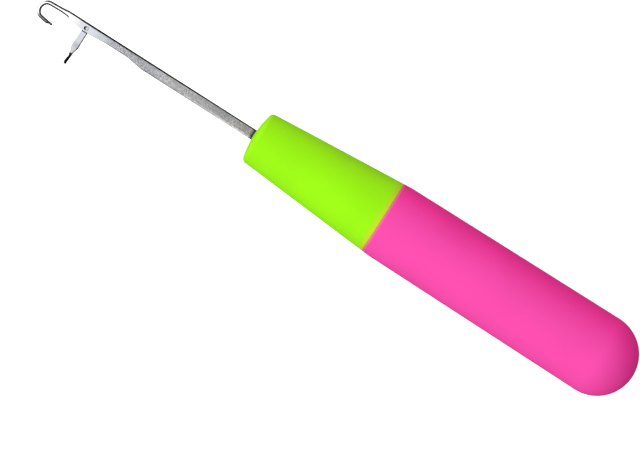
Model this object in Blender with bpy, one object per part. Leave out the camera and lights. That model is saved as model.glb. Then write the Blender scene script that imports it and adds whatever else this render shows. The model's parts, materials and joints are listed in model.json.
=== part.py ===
"""Latch hook: a steel needle with a swinging latch, in a round handle moulded in two colours.

The tool lies on the ground along X. The hook points to -X and the butt of the handle to +X, the hook opens
towards -Y, and the flats of the needle face up and down. In the tool frame, which every piece hangs from,
x runs from the tip of the collar's nose towards the butt, and y and z are measured from the tool's axis.
"""

from dataclasses import dataclass
from math import asin, atan, atan2, cos, hypot, pi, radians, sin, sqrt, tan

import bmesh
import bpy
from mathutils import Matrix, Vector

MM = 0.001

# Handle, outside
HANDLE_LENGTH = 105.7 * MM
COLLAR_LENGTH = 36.0 * MM
NOSE_RADIUS = 6.57 * MM
SEAM_RADIUS = 9.29 * MM
SHOULDER_SETBACK = 2.2 * MM
BUTT_RADIUS = 9.88 * MM
NOSE_DOME_RADIUS = 23.5 * MM
NOSE_CORNER_RADIUS = 1.3 * MM
SEAM_BREAK = 0.15 * MM

# Handle, inside
NOSE_WALL = 3.0 * MM
COLLAR_WALL = 2.0 * MM
GRIP_WALL = 2.8 * MM
GRIP_END_WALL = 8.5 * MM
CORE_CHAMFER = 1.0 * MM
KEY_SETBACK = 2.0 * MM
KEY_LENGTH = 30.0 * MM
KEY_WIDTH = 1.8 * MM
KEY_HEIGHT = 0.7 * MM
KEY_ROOT = 2.5 * MM
KEY_COUNT = 4

# Needle
STEM_LENGTH = 46.6 * MM
STEM_WIDTH = 2.46 * MM
STEM_THICKNESS = 1.3 * MM
STEM_EDGE_RADIUS = 0.35 * MM
STEM_ROOT = 1.0 * MM
TANG_DEPTH = 38.0 * MM
TANG_THICKNESS = 1.2 * MM
TANG_CHAMFER = 0.3 * MM
FOOT_WIDTH = 4.2 * MM
FOOT_LENGTH = 3.5 * MM
FOOT_SLOPE = 0.6 * MM
THROAT_LENGTH = 12.55 * MM
WIRE_DIAMETER = 0.92 * MM
BEND_RADIUS = 1.9 * MM
BEND_SWELL = 0.14 * MM
NECK_DROP = 0.25 * MM
NECK_LEAN = radians(2.3)
TIP_LEAN = radians(5.4)
TIP_LENGTH = 3.05 * MM
TIP_TAPER = 1.4 * MM
TIP_WIDTH = 0.52 * MM

# Blade of the needle, round the latch's pivot
BLADE_WEB = 0.59 * MM
BLADE_NOSE = 5.4 * MM
BLADE_COVER = 0.83 * MM
CHEEK_WALL = 0.475 * MM
CHEEK_FRONT = 1.1 * MM
CHEEK_REAR = 0.5 * MM
CHEEK_FLAT = 1.5 * MM
CHEEK_FADE = 5.0 * MM
SHOULDER_LENGTH = 1.2 * MM
RECESS_DEPTH = 0.62 * MM
RECESS_TAIL = 1.45 * MM
RAMP_LENGTH = 5.2 * MM

# Latch
EYE_WIDTH = 1.36 * MM
BELLY_WIDTH = 1.5 * MM
LATCH_THICKNESS = 0.42 * MM
LATCH_REST_ANGLE = radians(90.0)
SPOON_OVERLAP = 1.55 * MM
SPOON_LENGTH = 3.0 * MM
SPOON_WIDTH = 1.6 * MM
SPOON_SHEET = 0.34 * MM
BOWL_DEPTH = 0.26 * MM
LIP_RISE = 0.06 * MM
LIP_ANGLE = radians(80.0)
NECK_WIDTH = 0.58 * MM
WAIST_LENGTH = 1.7 * MM

# Rivet
RIVET_RADIUS = 0.35 * MM
RIVET_HEAD_RADIUS = 0.55 * MM
COUNTERSINK_DEPTH = 0.16 * MM
RIVET_CROWN = 0.06 * MM

# Clearances
SEAT_GAP = 0.3 * MM
SEAM_GAP = 0.12 * MM
STEM_HOLE_GAP = 0.12 * MM
RIVET_SEAT_GAP = 0.03 * MM
EYE_CLEARANCE = 0.05 * MM
SLOT_SIDE_CLEARANCE = 0.04 * MM
SLOT_EDGE_CLEARANCE = 0.06 * MM
STOP_CLEARANCE = 0.07 * MM

# Mesh
OVERRUN = 0.5 * MM
MERGE_DISTANCE = 0.001 * MM
HANDLE_SIDES = 48
RIVET_SIDES = 24
CORNER_STEPS = 4
ARC_STEPS = 12
FILLET_STEPS = 5
BEND_STEPS = 22
EASE_STEPS = 7
SHEET_STEPS = 6
SHARP_ANGLE = radians(35.0)

# Where the wire of the hook is all but round, its section keeps this share of the full corner
ROUND_SHARE = 0.96
# Where the spoon is widest, as a share of its length, and how thick its blunt lip is, as a share of its sheet
SPOON_WIDEST_SHARE = 0.58
LIP_SHEET_SHARE = 1.5
# The share of the recess's ramp that each of its rounded ends takes up
RAMP_ROUND_SHARE = 0.14

# Places along the handle
CONE_SLOPE = (SEAM_RADIUS - NOSE_RADIUS) / COLLAR_LENGTH
SHOULDER_X = COLLAR_LENGTH + SHOULDER_SETBACK
BUTT_CENTRE_X = HANDLE_LENGTH - BUTT_RADIUS
CORE_FRONT_X = NOSE_WALL + SEAT_GAP
CORE_STEP_X = COLLAR_LENGTH - SEAT_GAP
GRIP_FLOOR_X = HANDLE_LENGTH - GRIP_END_WALL
CORE_REAR_X = GRIP_FLOOR_X - SEAT_GAP

# Places along the needle
BACK_Y = STEM_WIDTH / 2
PIVOT_X = -STEM_LENGTH
PIVOT_Y = BACK_Y - BLADE_WEB - SLOT_EDGE_CLEARANCE - EYE_WIDTH / 2
CHEEK_Y = PIVOT_Y - BLADE_COVER
RECESS_Y = RECESS_DEPTH - STEM_WIDTH / 2
SLOT_THICKNESS = LATCH_THICKNESS + 2 * SLOT_SIDE_CLEARANCE
BLADE_THICKNESS = SLOT_THICKNESS + 2 * CHEEK_WALL
NECK_Y = BACK_Y - NECK_DROP - WIRE_DIAMETER / 2
WIRE_CORNER = ROUND_SHARE * WIRE_DIAMETER / 2

# Bend of the hook, and the tip that it leads to
BEND_X = PIVOT_X - THROAT_LENGTH + WIRE_DIAMETER / 2 + BEND_RADIUS
BEND_START_X = BEND_X - BEND_RADIUS * sin(NECK_LEAN)
BEND_START_Y = NECK_Y - (PIVOT_X - BLADE_NOSE - BEND_START_X) * tan(NECK_LEAN)
BEND_Y = BEND_START_Y - BEND_RADIUS * cos(NECK_LEAN)
BEND_END_X = BEND_X - BEND_RADIUS * sin(TIP_LEAN)
BEND_END_Y = BEND_Y - BEND_RADIUS * cos(TIP_LEAN)
TIP_X = BEND_END_X + TIP_LENGTH * cos(TIP_LEAN)
TIP_Y = BEND_END_Y - TIP_LENGTH * sin(TIP_LEAN) + (WIRE_DIAMETER - TIP_WIDTH) / 2

# Latch: it reaches past the tip, shuts on it, and folds back until the spoon lies in the recess
TIP_DISTANCE = hypot(TIP_X - PIVOT_X, TIP_Y - PIVOT_Y)
LATCH_LENGTH = TIP_DISTANCE + SPOON_OVERLAP
SPOON_START = LATCH_LENGTH - SPOON_LENGTH
WAIST_START = SPOON_START - WAIST_LENGTH
RECESS_END = LATCH_LENGTH + RECESS_TAIL
SPOON_BACK = NECK_WIDTH / 2
TIP_ANGLE = atan2(PIVOT_Y - TIP_Y, PIVOT_X - TIP_X)
SPREAD_ANGLE = atan((BELLY_WIDTH - EYE_WIDTH) / 2 / WAIST_START)
CLOSED_ANGLE = TIP_ANGLE + asin((TIP_WIDTH / 2 + STOP_CLEARANCE) / TIP_DISTANCE)
FOLD_ANGLE = asin((PIVOT_Y + SPOON_BACK - RECESS_Y + STOP_CLEARANCE) / SPOON_START)


@dataclass(frozen=True)
class Section:
    """A cross-section of the needle: where it is, which way the steel runs there, and its size."""

    x: float
    y: float
    heading: float
    width: float
    thickness: float
    corner: float


@dataclass(frozen=True)
class Slice:
    """A cross-section of the latch: a sheet that starts at its back and is bowed into a bowl."""

    along: float
    back: float
    sheet: float
    bowl: float
    half_thickness: float


def clear_scene():
    """Removes whatever the scene starts with."""
    for item in list(bpy.data.objects):
        bpy.data.objects.remove(item)


def linear(level):
    """Turns one 8-bit screen level into a linear one."""
    share = level / 255
    return share / 12.92 if share <= 0.04045 else ((share + 0.055) / 1.055) ** 2.4


def make_material(name, screen_colour, roughness, metallic):
    """A plain material from a colour in 8-bit screen levels."""
    material = bpy.data.materials.new(name)
    material.use_nodes = True
    shader = material.node_tree.nodes["Principled BSDF"]
    shader.inputs["Base Color"].default_value = (*map(linear, screen_colour), 1.0)
    shader.inputs["Roughness"].default_value = roughness
    shader.inputs["Metallic"].default_value = metallic
    return material


def make_object(name, shape, parent, place=(0, 0, 0)):
    """Makes an object from a bmesh, with its faces outward and its round faces smooth."""
    bmesh.ops.recalc_face_normals(shape, faces=shape.faces)
    mesh = bpy.data.meshes.new(name)
    shape.to_mesh(mesh)
    shape.free()
    mesh.shade_smooth()
    mesh.set_sharp_from_angle(angle=SHARP_ANGLE)
    item = bpy.data.objects.new(name, mesh)
    item.parent = parent
    item.location = place
    bpy.context.scene.collection.objects.link(item)
    return item


def turned(profile, sides, upright=False):
    """Turns a profile of (along, radius) points about X, or about Z when it stands upright.

    The profile runs from the axis to the axis. The turned shape has a flat side straight below its axis.
    """
    shape = bmesh.new()
    start = pi / sides
    rim = [shape.verts.new((along, radius * sin(start), -radius * cos(start))) for along, radius in profile]
    for near, far in zip(rim, rim[1:]):
        shape.edges.new((near, far))
    bmesh.ops.spin(
        shape,
        geom=shape.verts[:] + shape.edges[:],
        cent=(0, 0, 0),
        axis=(1, 0, 0),
        angle=2 * pi,
        steps=sides,
    )
    bmesh.ops.remove_doubles(shape, verts=shape.verts, dist=MERGE_DISTANCE)
    if upright:
        bmesh.ops.transform(shape, matrix=Matrix.Rotation(-pi / 2, 4, "Y"), verts=shape.verts)
    return shape


def lofted(rings):
    """Skins a run of rings that have equal numbers of points, and closes both ends."""
    shape = bmesh.new()
    loops = [[shape.verts.new(point) for point in ring] for ring in rings]
    for near, far in zip(loops, loops[1:]):
        for index, corner in enumerate(near):
            shape.faces.new((near[index - 1], corner, far[index], far[index - 1]))
    shape.faces.new(loops[0])
    shape.faces.new(loops[-1])
    return shape


def prism(outline, half_height):
    """Extrudes an outline in the plane of the blade, the same height above and below that plane."""
    shape = bmesh.new()
    base = shape.faces.new([shape.verts.new((x, y, -half_height)) for x, y in outline])
    lifted = bmesh.ops.extrude_face_region(shape, geom=[base])["geom"]
    top = [part for part in lifted if isinstance(part, bmesh.types.BMVert)]
    bmesh.ops.translate(shape, verts=top, vec=(0, 0, 2 * half_height))
    return shape


def bar(x_span, z_span, width):
    """A straight bar along X between two heights."""
    side = width / 2
    outline = [(x_span[0], -side), (x_span[1], -side), (x_span[1], side), (x_span[0], side)]
    shape = prism(outline, (z_span[1] - z_span[0]) / 2)
    bmesh.ops.translate(shape, verts=shape.verts, vec=(0, 0, (z_span[0] + z_span[1]) / 2))
    return shape


def combine(target, tool, operation):
    """Adds a Boolean to a piece and hides the object that it works with."""
    modifier = target.modifiers.new(tool.name, "BOOLEAN")
    modifier.operation = operation
    modifier.solver = "EXACT"
    modifier.object = tool
    tool.hide_render = True
    tool.display_type = "WIRE"


def spread(start, end, steps):
    """The places of a number of equal steps from a start, which it leaves out, to an end."""
    return [start + (end - start) * step / steps for step in range(1, steps + 1)]


def eased(start, end, share):
    """A value that leaves the start and reaches the end without a corner."""
    share = min(max(share, 0.0), 1.0)
    return start + (end - start) * share * share * (3 - 2 * share)


def ramped(start, end, share):
    """A value that runs straight from the start to the end, with both ends of the run rounded."""
    share = min(max(share, 0.0), 1.0)
    near = min(share, 1 - share)
    straight = 1 - RAMP_ROUND_SHARE
    if near < RAMP_ROUND_SHARE:
        rise = near * near / (2 * RAMP_ROUND_SHARE * straight)
    else:
        rise = (near - RAMP_ROUND_SHARE / 2) / straight
    return start + (end - start) * (rise if share == near else 1 - rise)


def arc(centre, radius, start, end, steps):
    """Points round a centre, both ends included."""
    angles = [start, *spread(start, end, steps)]
    return [(centre[0] + radius * cos(angle), centre[1] + radius * sin(angle)) for angle in angles]


def fillet(before, corner, after, radius):
    """Points of the round that replaces the corner between two straight runs."""
    corner = Vector(corner)
    back = (Vector(before) - corner).normalized()
    ahead = (Vector(after) - corner).normalized()
    half = back.angle(ahead) / 2
    centre = corner + (back + ahead).normalized() * radius / sin(half)
    first = (corner + back * radius / tan(half) - centre).normalized()
    last = (corner + ahead * radius / tan(half) - centre).normalized()
    shares = [step / FILLET_STEPS for step in range(FILLET_STEPS + 1)]
    return [tuple(centre + first.slerp(last, share) * radius) for share in shares]


def outer_radius(x):
    """The outside radius of the handle: a cone up to the shoulder, then a slow swell to the butt."""
    if x <= SHOULDER_X:
        return NOSE_RADIUS + CONE_SLOPE * x
    shoulder_radius = NOSE_RADIUS + CONE_SLOPE * SHOULDER_X
    share = (x - SHOULDER_X) / (BUTT_CENTRE_X - SHOULDER_X)
    return shoulder_radius + (BUTT_RADIUS - shoulder_radius) * share


def make_collar(parent):
    """The front moulding: a cone with a domed nose, hollow from behind, with a hole for the stem."""
    rear = COLLAR_LENGTH - SEAM_GAP / 2
    dome_angle = asin(NOSE_RADIUS / NOSE_DOME_RADIUS)
    dome = [
        (NOSE_DOME_RADIUS * (1 - cos(angle)), NOSE_DOME_RADIUS * sin(angle))
        for angle in [0, *spread(0, dome_angle, ARC_STEPS)]
    ]
    edge_x = dome[-1][0]
    edge = (edge_x, outer_radius(edge_x))
    inner = (edge_x - NOSE_RADIUS * sin(dome_angle), edge[1] - NOSE_RADIUS * cos(dome_angle))
    seam = (rear, outer_radius(rear))
    nose_corner = fillet(inner, edge, seam, NOSE_CORNER_RADIUS)
    kept_dome = [point for point in dome if point[1] < nose_corner[0][1]]
    profile = [
        *kept_dome,
        *nose_corner,
        (rear - SEAM_BREAK, outer_radius(rear - SEAM_BREAK)),
        (rear, seam[1] - SEAM_BREAK),
        (rear, outer_radius(rear) - COLLAR_WALL),
        (NOSE_WALL, outer_radius(NOSE_WALL) - COLLAR_WALL),
        (NOSE_WALL, 0),
    ]
    collar = make_object("collar", turned(profile, HANDLE_SIDES), parent)
    collar.data.materials.append(make_material("lime_moulding", (156, 248, 21), 0.5, 0.0))
    hole = make_object(
        "stem_hole",
        bar(
            (-OVERRUN, NOSE_WALL + OVERRUN),
            (-STEM_THICKNESS / 2 - STEM_HOLE_GAP, STEM_THICKNESS / 2 + STEM_HOLE_GAP),
            STEM_WIDTH + 2 * STEM_HOLE_GAP,
        ),
        parent,
    )
    combine(collar, hole, "DIFFERENCE")


def key_bar(gap, front, turn):
    """One of the keys that stop the grip turning on the core, or its keyway when it has a gap."""
    rear = COLLAR_LENGTH + KEY_SETBACK + KEY_LENGTH + gap
    core_radius = outer_radius(COLLAR_LENGTH) - GRIP_WALL - SEAT_GAP
    shape = bar((front, rear), (core_radius - KEY_ROOT, core_radius + KEY_HEIGHT + gap), KEY_WIDTH + 2 * gap)
    bmesh.ops.rotate(shape, verts=shape.verts, cent=(0, 0, 0), matrix=Matrix.Rotation(turn, 3, "X"))
    return shape


def make_core(parent):
    """The rigid moulding under both colours, with a pocket moulded round the tang of the needle."""
    front_radius = outer_radius(CORE_FRONT_X) - COLLAR_WALL - SEAT_GAP
    step_radius = outer_radius(CORE_STEP_X) - COLLAR_WALL - SEAT_GAP
    rear_radius = outer_radius(CORE_REAR_X) - GRIP_WALL - SEAT_GAP
    profile = [
        (CORE_FRONT_X, 0),
        (CORE_FRONT_X, front_radius - CORE_CHAMFER),
        (CORE_FRONT_X + CORE_CHAMFER, front_radius),
        (CORE_STEP_X, step_radius),
        (CORE_STEP_X, outer_radius(CORE_STEP_X) - GRIP_WALL - SEAT_GAP),
        (CORE_REAR_X - CORE_CHAMFER, rear_radius),
        (CORE_REAR_X, rear_radius - CORE_CHAMFER),
        (CORE_REAR_X, 0),
    ]
    core = make_object("handle_core", turned(profile, HANDLE_SIDES), parent)
    core.data.materials.append(make_material("core_moulding", (226, 224, 218), 0.45, 0.0))
    for number in range(KEY_COUNT):
        turn = 2 * pi * number / KEY_COUNT
        key = make_object(f"key_{number + 1}", key_bar(0, COLLAR_LENGTH + KEY_SETBACK, turn), parent)
        combine(core, key, "UNION")
    pocket = prism(tang_outline(SEAT_GAP, CORE_FRONT_X - OVERRUN), TANG_THICKNESS / 2 + SEAT_GAP)
    combine(core, make_object("tang_pocket", pocket, parent), "DIFFERENCE")


def tang_outline(gap, front):
    """The outline of the tang, grown by a gap: a straight strip that ends in a wide foot."""
    strip = STEM_WIDTH / 2 + gap
    foot = FOOT_WIDTH / 2 + gap
    neck = TANG_DEPTH - FOOT_LENGTH - FOOT_SLOPE - gap
    one_side = [(front, strip), (neck, strip), (neck + FOOT_SLOPE, foot), (TANG_DEPTH + gap, foot)]
    return one_side + [(x, -y) for x, y in reversed(one_side)]


def make_grip(parent):
    """The rear moulding: a slow swell that ends in a hemisphere, hollow from the front."""
    front = COLLAR_LENGTH + SEAM_GAP / 2
    floor_radius = outer_radius(GRIP_FLOOR_X) - GRIP_WALL
    profile = [
        (GRIP_FLOOR_X, 0),
        (GRIP_FLOOR_X, floor_radius),
        (front, outer_radius(front) - GRIP_WALL),
        (front, outer_radius(front) - SEAM_BREAK),
        (front + SEAM_BREAK, outer_radius(front + SEAM_BREAK)),
        (SHOULDER_X, outer_radius(SHOULDER_X)),
        *arc((BUTT_CENTRE_X, 0), BUTT_RADIUS, pi / 2, 0, ARC_STEPS),
    ]
    grip = make_object("handle_grip", turned(profile, HANDLE_SIDES), parent)
    grip.data.materials.append(make_material("pink_moulding", (250, 73, 169), 0.5, 0.0))
    for number in range(KEY_COUNT):
        turn = 2 * pi * number / KEY_COUNT
        keyway = make_object(f"keyway_{number + 1}", key_bar(SEAT_GAP, front - OVERRUN, turn), parent)
        combine(grip, keyway, "DIFFERENCE")


def blade_edge(ahead):
    """The y of the needle's hook side, from how far ahead of the pivot it is, negative towards the handle."""
    if ahead <= -RECESS_END:
        return ramped(RECESS_Y, -BACK_Y, (-ahead - RECESS_END) / RAMP_LENGTH)
    if ahead <= CHEEK_FRONT:
        return eased(CHEEK_Y, RECESS_Y, (-ahead - CHEEK_REAR) / (SPOON_START - CHEEK_REAR))
    share = (ahead - CHEEK_FRONT) / (BLADE_NOSE - CHEEK_FRONT)
    return CHEEK_Y + (NECK_Y - WIRE_DIAMETER / 2 - CHEEK_Y) * share


def blade_section(ahead):
    """A section of the straight part of the needle, with its back on the line of the stem's back."""
    edge = blade_edge(ahead)
    swell = eased(STEM_THICKNESS, BLADE_THICKNESS, (CHEEK_FADE + ahead) / (CHEEK_FADE - CHEEK_REAR))
    nose_share = (ahead - CHEEK_FLAT) / (BLADE_NOSE - CHEEK_FLAT)
    return Section(
        x=PIVOT_X - ahead,
        y=(BACK_Y + edge) / 2,
        heading=pi,
        width=BACK_Y - edge,
        thickness=eased(swell, WIRE_DIAMETER, nose_share),
        corner=eased(STEM_EDGE_RADIUS, WIRE_CORNER, nose_share),
    )


def tang_sections():
    """The tang, from the chamfered end of its foot to the root of the stem, where it thickens."""
    foot_front = TANG_DEPTH - FOOT_LENGTH
    places = [
        (TANG_DEPTH, FOOT_WIDTH - 2 * TANG_CHAMFER, TANG_THICKNESS - TANG_CHAMFER),
        (TANG_DEPTH - TANG_CHAMFER, FOOT_WIDTH, TANG_THICKNESS),
        (foot_front, FOOT_WIDTH, TANG_THICKNESS),
        (foot_front - FOOT_SLOPE, STEM_WIDTH, TANG_THICKNESS),
        (NOSE_WALL, STEM_WIDTH, TANG_THICKNESS),
        (-STEM_ROOT, STEM_WIDTH, STEM_THICKNESS),
    ]
    return [Section(x, 0, pi, width, thickness, STEM_EDGE_RADIUS) for x, width, thickness in places]


def blade_sections():
    """The stem, the recess for the open latch, the cheeks and the taper to the neck."""
    places = [
        -RECESS_END - RAMP_LENGTH,
        *spread(-RECESS_END - RAMP_LENGTH, -RECESS_END, EASE_STEPS),
        -SPOON_START,
        *spread(-SPOON_START, -CHEEK_REAR, EASE_STEPS),
        CHEEK_FRONT,
        *spread(CHEEK_FRONT, BLADE_NOSE, EASE_STEPS),
    ]
    return [blade_section(ahead) for ahead in places]


def hook_sections():
    """The wire: the round neck, the bend, wider at its middle, and the tip, thinned on its outer side."""
    sections = []
    neck_x = PIVOT_X - BLADE_NOSE - SHOULDER_LENGTH
    neck_y = NECK_Y - SHOULDER_LENGTH * tan(NECK_LEAN)
    start = pi + NECK_LEAN
    end = 2 * pi - TIP_LEAN
    sections.append(Section(neck_x, neck_y, start, WIRE_DIAMETER, WIRE_DIAMETER, WIRE_CORNER))
    for heading in [start, *spread(start, end, BEND_STEPS)]:
        swell = BEND_SWELL * sin(pi * (heading - start) / (end - start)) ** 2
        radius = BEND_RADIUS - swell / 2
        x = BEND_X + radius * sin(heading)
        y = BEND_Y - radius * cos(heading)
        sections.append(Section(x, y, heading, WIRE_DIAMETER + swell, WIRE_DIAMETER, WIRE_CORNER))
    for share in [0, *spread(0, 1, EASE_STEPS)]:
        along = TIP_LENGTH - TIP_WIDTH / 2 - TIP_TAPER * (1 - share)
        size = eased(WIRE_DIAMETER, TIP_WIDTH, share)
        sections.append(tip_section(along, size))
    for angle in spread(0, pi / 2, CORNER_STEPS + 1)[:-1]:
        along = TIP_LENGTH - TIP_WIDTH / 2 * (1 - sin(angle))
        sections.append(tip_section(along, TIP_WIDTH * cos(angle)))
    return sections


def tip_section(along, size):
    """A section of the tip, the thinner the nearer it lies to the inside of the hook."""
    inward = (WIRE_DIAMETER - max(size, TIP_WIDTH)) / 2
    x = BEND_END_X + along * cos(TIP_LEAN) + inward * sin(TIP_LEAN)
    y = BEND_END_Y - along * sin(TIP_LEAN) + inward * cos(TIP_LEAN)
    return Section(x, y, 2 * pi - TIP_LEAN, size, size, ROUND_SHARE * size / 2)


def section_ring(section):
    """The points of a section: a rectangle with round corners, square to the run of the steel."""
    side = Vector((-sin(section.heading), cos(section.heading), 0))
    centre = Vector((section.x, section.y, 0))
    ring = []
    for quarter in range(4):
        x_sign = 1 if quarter in (0, 3) else -1
        z_sign = 1 if quarter in (0, 1) else -1
        corner_centre = (
            x_sign * (section.width / 2 - section.corner),
            z_sign * (section.thickness / 2 - section.corner),
        )
        first = quarter * pi / 2
        for across, height in arc(corner_centre, section.corner, first, first + pi / 2, CORNER_STEPS):
            ring.append(centre + side * across + Vector((0, 0, height)))
    return ring


def slot_outline():
    """The outline of the slot: what the flat of the latch sweeps between its two stops."""
    reach = EYE_WIDTH / 2 + SLOT_EDGE_CLEARANCE
    low_y = CHEEK_Y - OVERRUN
    sweep = arc((PIVOT_X, PIVOT_Y), reach, pi / 2 + CLOSED_ANGLE, pi / 2 - FOLD_ANGLE, ARC_STEPS)
    front_x, front_y = sweep[0]
    front_exit = (front_x - (front_y - low_y) / tan(CLOSED_ANGLE - SPREAD_ANGLE), low_y)
    ahead = Vector((cos(FOLD_ANGLE), -sin(FOLD_ANGLE)))
    side = Vector((sin(FOLD_ANGLE), cos(FOLD_ANGLE)))
    pivot = Vector((PIVOT_X, PIVOT_Y))
    waist = [
        tuple(pivot + ahead * piece.along + side * (piece.back + SLOT_EDGE_CLEARANCE))
        for piece in waist_slices()
    ]
    return [front_exit, *sweep, *waist, (waist[-1][0], low_y)]


def rivet_profile(gap, crown):
    """Half the length of the rivet, from its middle to the crown of a head, grown by a gap."""
    head_z = BLADE_THICKNESS / 2
    return [
        (head_z - COUNTERSINK_DEPTH, RIVET_RADIUS + gap),
        (head_z, RIVET_HEAD_RADIUS + gap),
        *crown,
    ]


def both_ways(half):
    """A profile and its mirror image, in one run from end to end."""
    return [(-along, radius) for along, radius in reversed(half)] + half


def make_needle(parent):
    """The steel from tang to tip in one piece, with the slot for the latch and the rivet's seat."""
    sections = [*tang_sections(), *blade_sections(), *hook_sections()]
    needle = make_object("needle", lofted([section_ring(section) for section in sections]), parent)
    needle.data.materials.append(make_material("needle_steel", (176, 176, 180), 0.35, 1.0))
    slot = make_object("latch_slot", prism(slot_outline(), SLOT_THICKNESS / 2), parent)
    combine(needle, slot, "DIFFERENCE")
    mouth = BLADE_THICKNESS / 2 + OVERRUN
    seat = rivet_profile(RIVET_SEAT_GAP, [(mouth, RIVET_HEAD_RADIUS + RIVET_SEAT_GAP), (mouth, 0)])
    cutter = turned(both_ways(seat), RIVET_SIDES, upright=True)
    combine(needle, make_object("rivet_seat", cutter, parent, (PIVOT_X, PIVOT_Y, 0)), "DIFFERENCE")


def make_rivet(parent):
    """The latch's rivet, peened into a countersink on each cheek."""
    head_z = BLADE_THICKNESS / 2
    crown = [(head_z + RIVET_CROWN / 2, RIVET_HEAD_RADIUS * sqrt(1 / 2)), (head_z + RIVET_CROWN, 0)]
    shape = turned(both_ways(rivet_profile(0, crown)), RIVET_SIDES, upright=True)
    rivet = make_object("latch_rivet", shape, parent, (PIVOT_X, PIVOT_Y, 0))
    rivet.data.materials.append(make_material("rivet_steel", (150, 150, 152), 0.4, 1.0))


def eye_slices():
    """The round end of the latch, behind its pivot."""
    radius = EYE_WIDTH / 2
    angles = spread(0, pi / 2, EASE_STEPS)
    return [
        Slice(-radius * cos(angle), radius * sin(angle), 2 * radius * sin(angle), 0, LATCH_THICKNESS / 2)
        for angle in angles
    ]


def waist_slices():
    """The flat of the latch, and the waist where it narrows to the neck."""
    slices = []
    for share in [0, *spread(0, 1, EASE_STEPS)]:
        width = eased(BELLY_WIDTH, NECK_WIDTH, share)
        along = WAIST_START + WAIST_LENGTH * share
        slices.append(Slice(along, width / 2, width, 0, LATCH_THICKNESS / 2))
    return slices


def spoon_slices():
    """The spoon: the neck spreads into a bowl that closes in a round, blunt lip."""
    return [
        *(spoon_slice(SPOON_WIDEST_SHARE * share, eased(0, 1, share)) for share in spread(0, 1, EASE_STEPS)),
        *(
            spoon_slice(
                SPOON_WIDEST_SHARE + (1 - SPOON_WIDEST_SHARE) * sin(angle) / sin(LIP_ANGLE),
                (SPOON_WIDTH * cos(angle) - LATCH_THICKNESS) / (SPOON_WIDTH - LATCH_THICKNESS),
            )
            for angle in spread(0, LIP_ANGLE, EASE_STEPS)
        ),
    ]


def spoon_slice(share, spreading):
    """A slice of the spoon, from its share of the length and how far it has spread from the flat."""
    thinning = eased(0, 1, 2 * share)
    lip = eased(0, 1, 2 * share - 1)
    sheet = NECK_WIDTH + (SPOON_SHEET - NECK_WIDTH) * thinning
    half_thickness = LATCH_THICKNESS / 2 + (SPOON_WIDTH - LATCH_THICKNESS) / 2 * spreading
    return Slice(
        along=SPOON_START + SPOON_LENGTH * share,
        back=SPOON_BACK - LIP_RISE * lip,
        sheet=sheet * (1 + (LIP_SHEET_SHARE - 1) * lip),
        bowl=BOWL_DEPTH * thinning * (half_thickness / (SPOON_WIDTH / 2)) ** 2,
        half_thickness=half_thickness,
    )


def slice_ring(piece):
    """The points of a slice: across the back, then across the front, bowed by the depth of the bowl."""
    places = [-1, *spread(-1, 1, SHEET_STEPS)]
    back = []
    front = []
    for share in places:
        bow = piece.back - piece.bowl * share * share
        height = piece.half_thickness * share
        back.append(Vector((piece.along, bow, height)))
        front.append(Vector((piece.along, bow - piece.sheet, height)))
    return back + front[::-1]


def make_latch(parent):
    """The latch: a flat with an eye, a waist and a spoon. It swings about the origin of its object."""
    slices = [*eye_slices(), *waist_slices(), *spoon_slices()]
    shape = lofted([slice_ring(piece) for piece in slices])
    latch = make_object("latch", shape, parent, (PIVOT_X, PIVOT_Y, 0))
    latch.rotation_euler.z = LATCH_REST_ANGLE - pi
    latch.data.materials.append(make_material("latch_steel", (168, 168, 172), 0.35, 1.0))
    eye_radius = RIVET_RADIUS + EYE_CLEARANCE
    depth = LATCH_THICKNESS / 2 + OVERRUN
    eye = turned(both_ways([(depth, eye_radius), (depth, 0)]), RIVET_SIDES, upright=True)
    combine(latch, make_object("latch_eye", eye, parent, (PIVOT_X, PIVOT_Y, 0)), "DIFFERENCE")


def main():
    """Builds the tool so that it lies on the ground, centred over the origin."""
    clear_scene()
    front_x = PIVOT_X - THROAT_LENGTH
    tool = bpy.data.objects.new("tool_frame", None)
    tool.location = (-(front_x + HANDLE_LENGTH) / 2, 0, BUTT_RADIUS * cos(pi / HANDLE_SIDES))
    bpy.context.scene.collection.objects.link(tool)
    make_core(tool)
    make_collar(tool)
    make_grip(tool)
    make_needle(tool)
    make_rivet(tool)
    make_latch(tool)


main()
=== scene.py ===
"""Looks of a latch hook: steel needle, swinging latch and a handle moulded in lime and pink.

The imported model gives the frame: the tool lies along X with its hook at -X, and every piece made here takes the
place of the node that it is named for. Lengths are in metres. In the tool's own frame, which ToolFrame holds, x is
measured from the tip of the collar's nose towards the butt, and y and z from the tool's axis.
"""

import json
import logging
from collections.abc import Iterable, Mapping, Sequence
from dataclasses import dataclass, replace
from enum import Enum
from math import asin, cos, pi, radians, sin, tan

import bmesh
import bpy
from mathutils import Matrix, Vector


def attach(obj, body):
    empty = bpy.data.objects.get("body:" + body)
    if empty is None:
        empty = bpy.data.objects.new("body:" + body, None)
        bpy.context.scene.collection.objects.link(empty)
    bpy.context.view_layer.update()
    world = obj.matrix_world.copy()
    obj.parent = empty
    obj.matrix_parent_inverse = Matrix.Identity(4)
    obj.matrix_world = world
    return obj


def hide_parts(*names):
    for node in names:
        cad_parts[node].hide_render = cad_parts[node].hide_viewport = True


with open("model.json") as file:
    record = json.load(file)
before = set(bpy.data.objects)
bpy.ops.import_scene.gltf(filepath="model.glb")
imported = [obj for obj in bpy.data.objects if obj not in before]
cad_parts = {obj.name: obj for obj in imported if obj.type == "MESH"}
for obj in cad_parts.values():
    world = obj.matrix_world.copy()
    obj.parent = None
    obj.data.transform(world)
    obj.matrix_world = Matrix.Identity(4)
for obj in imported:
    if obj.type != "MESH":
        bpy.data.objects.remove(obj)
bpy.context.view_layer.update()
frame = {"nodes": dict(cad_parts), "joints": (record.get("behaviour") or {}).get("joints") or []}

MM = 0.001
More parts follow.
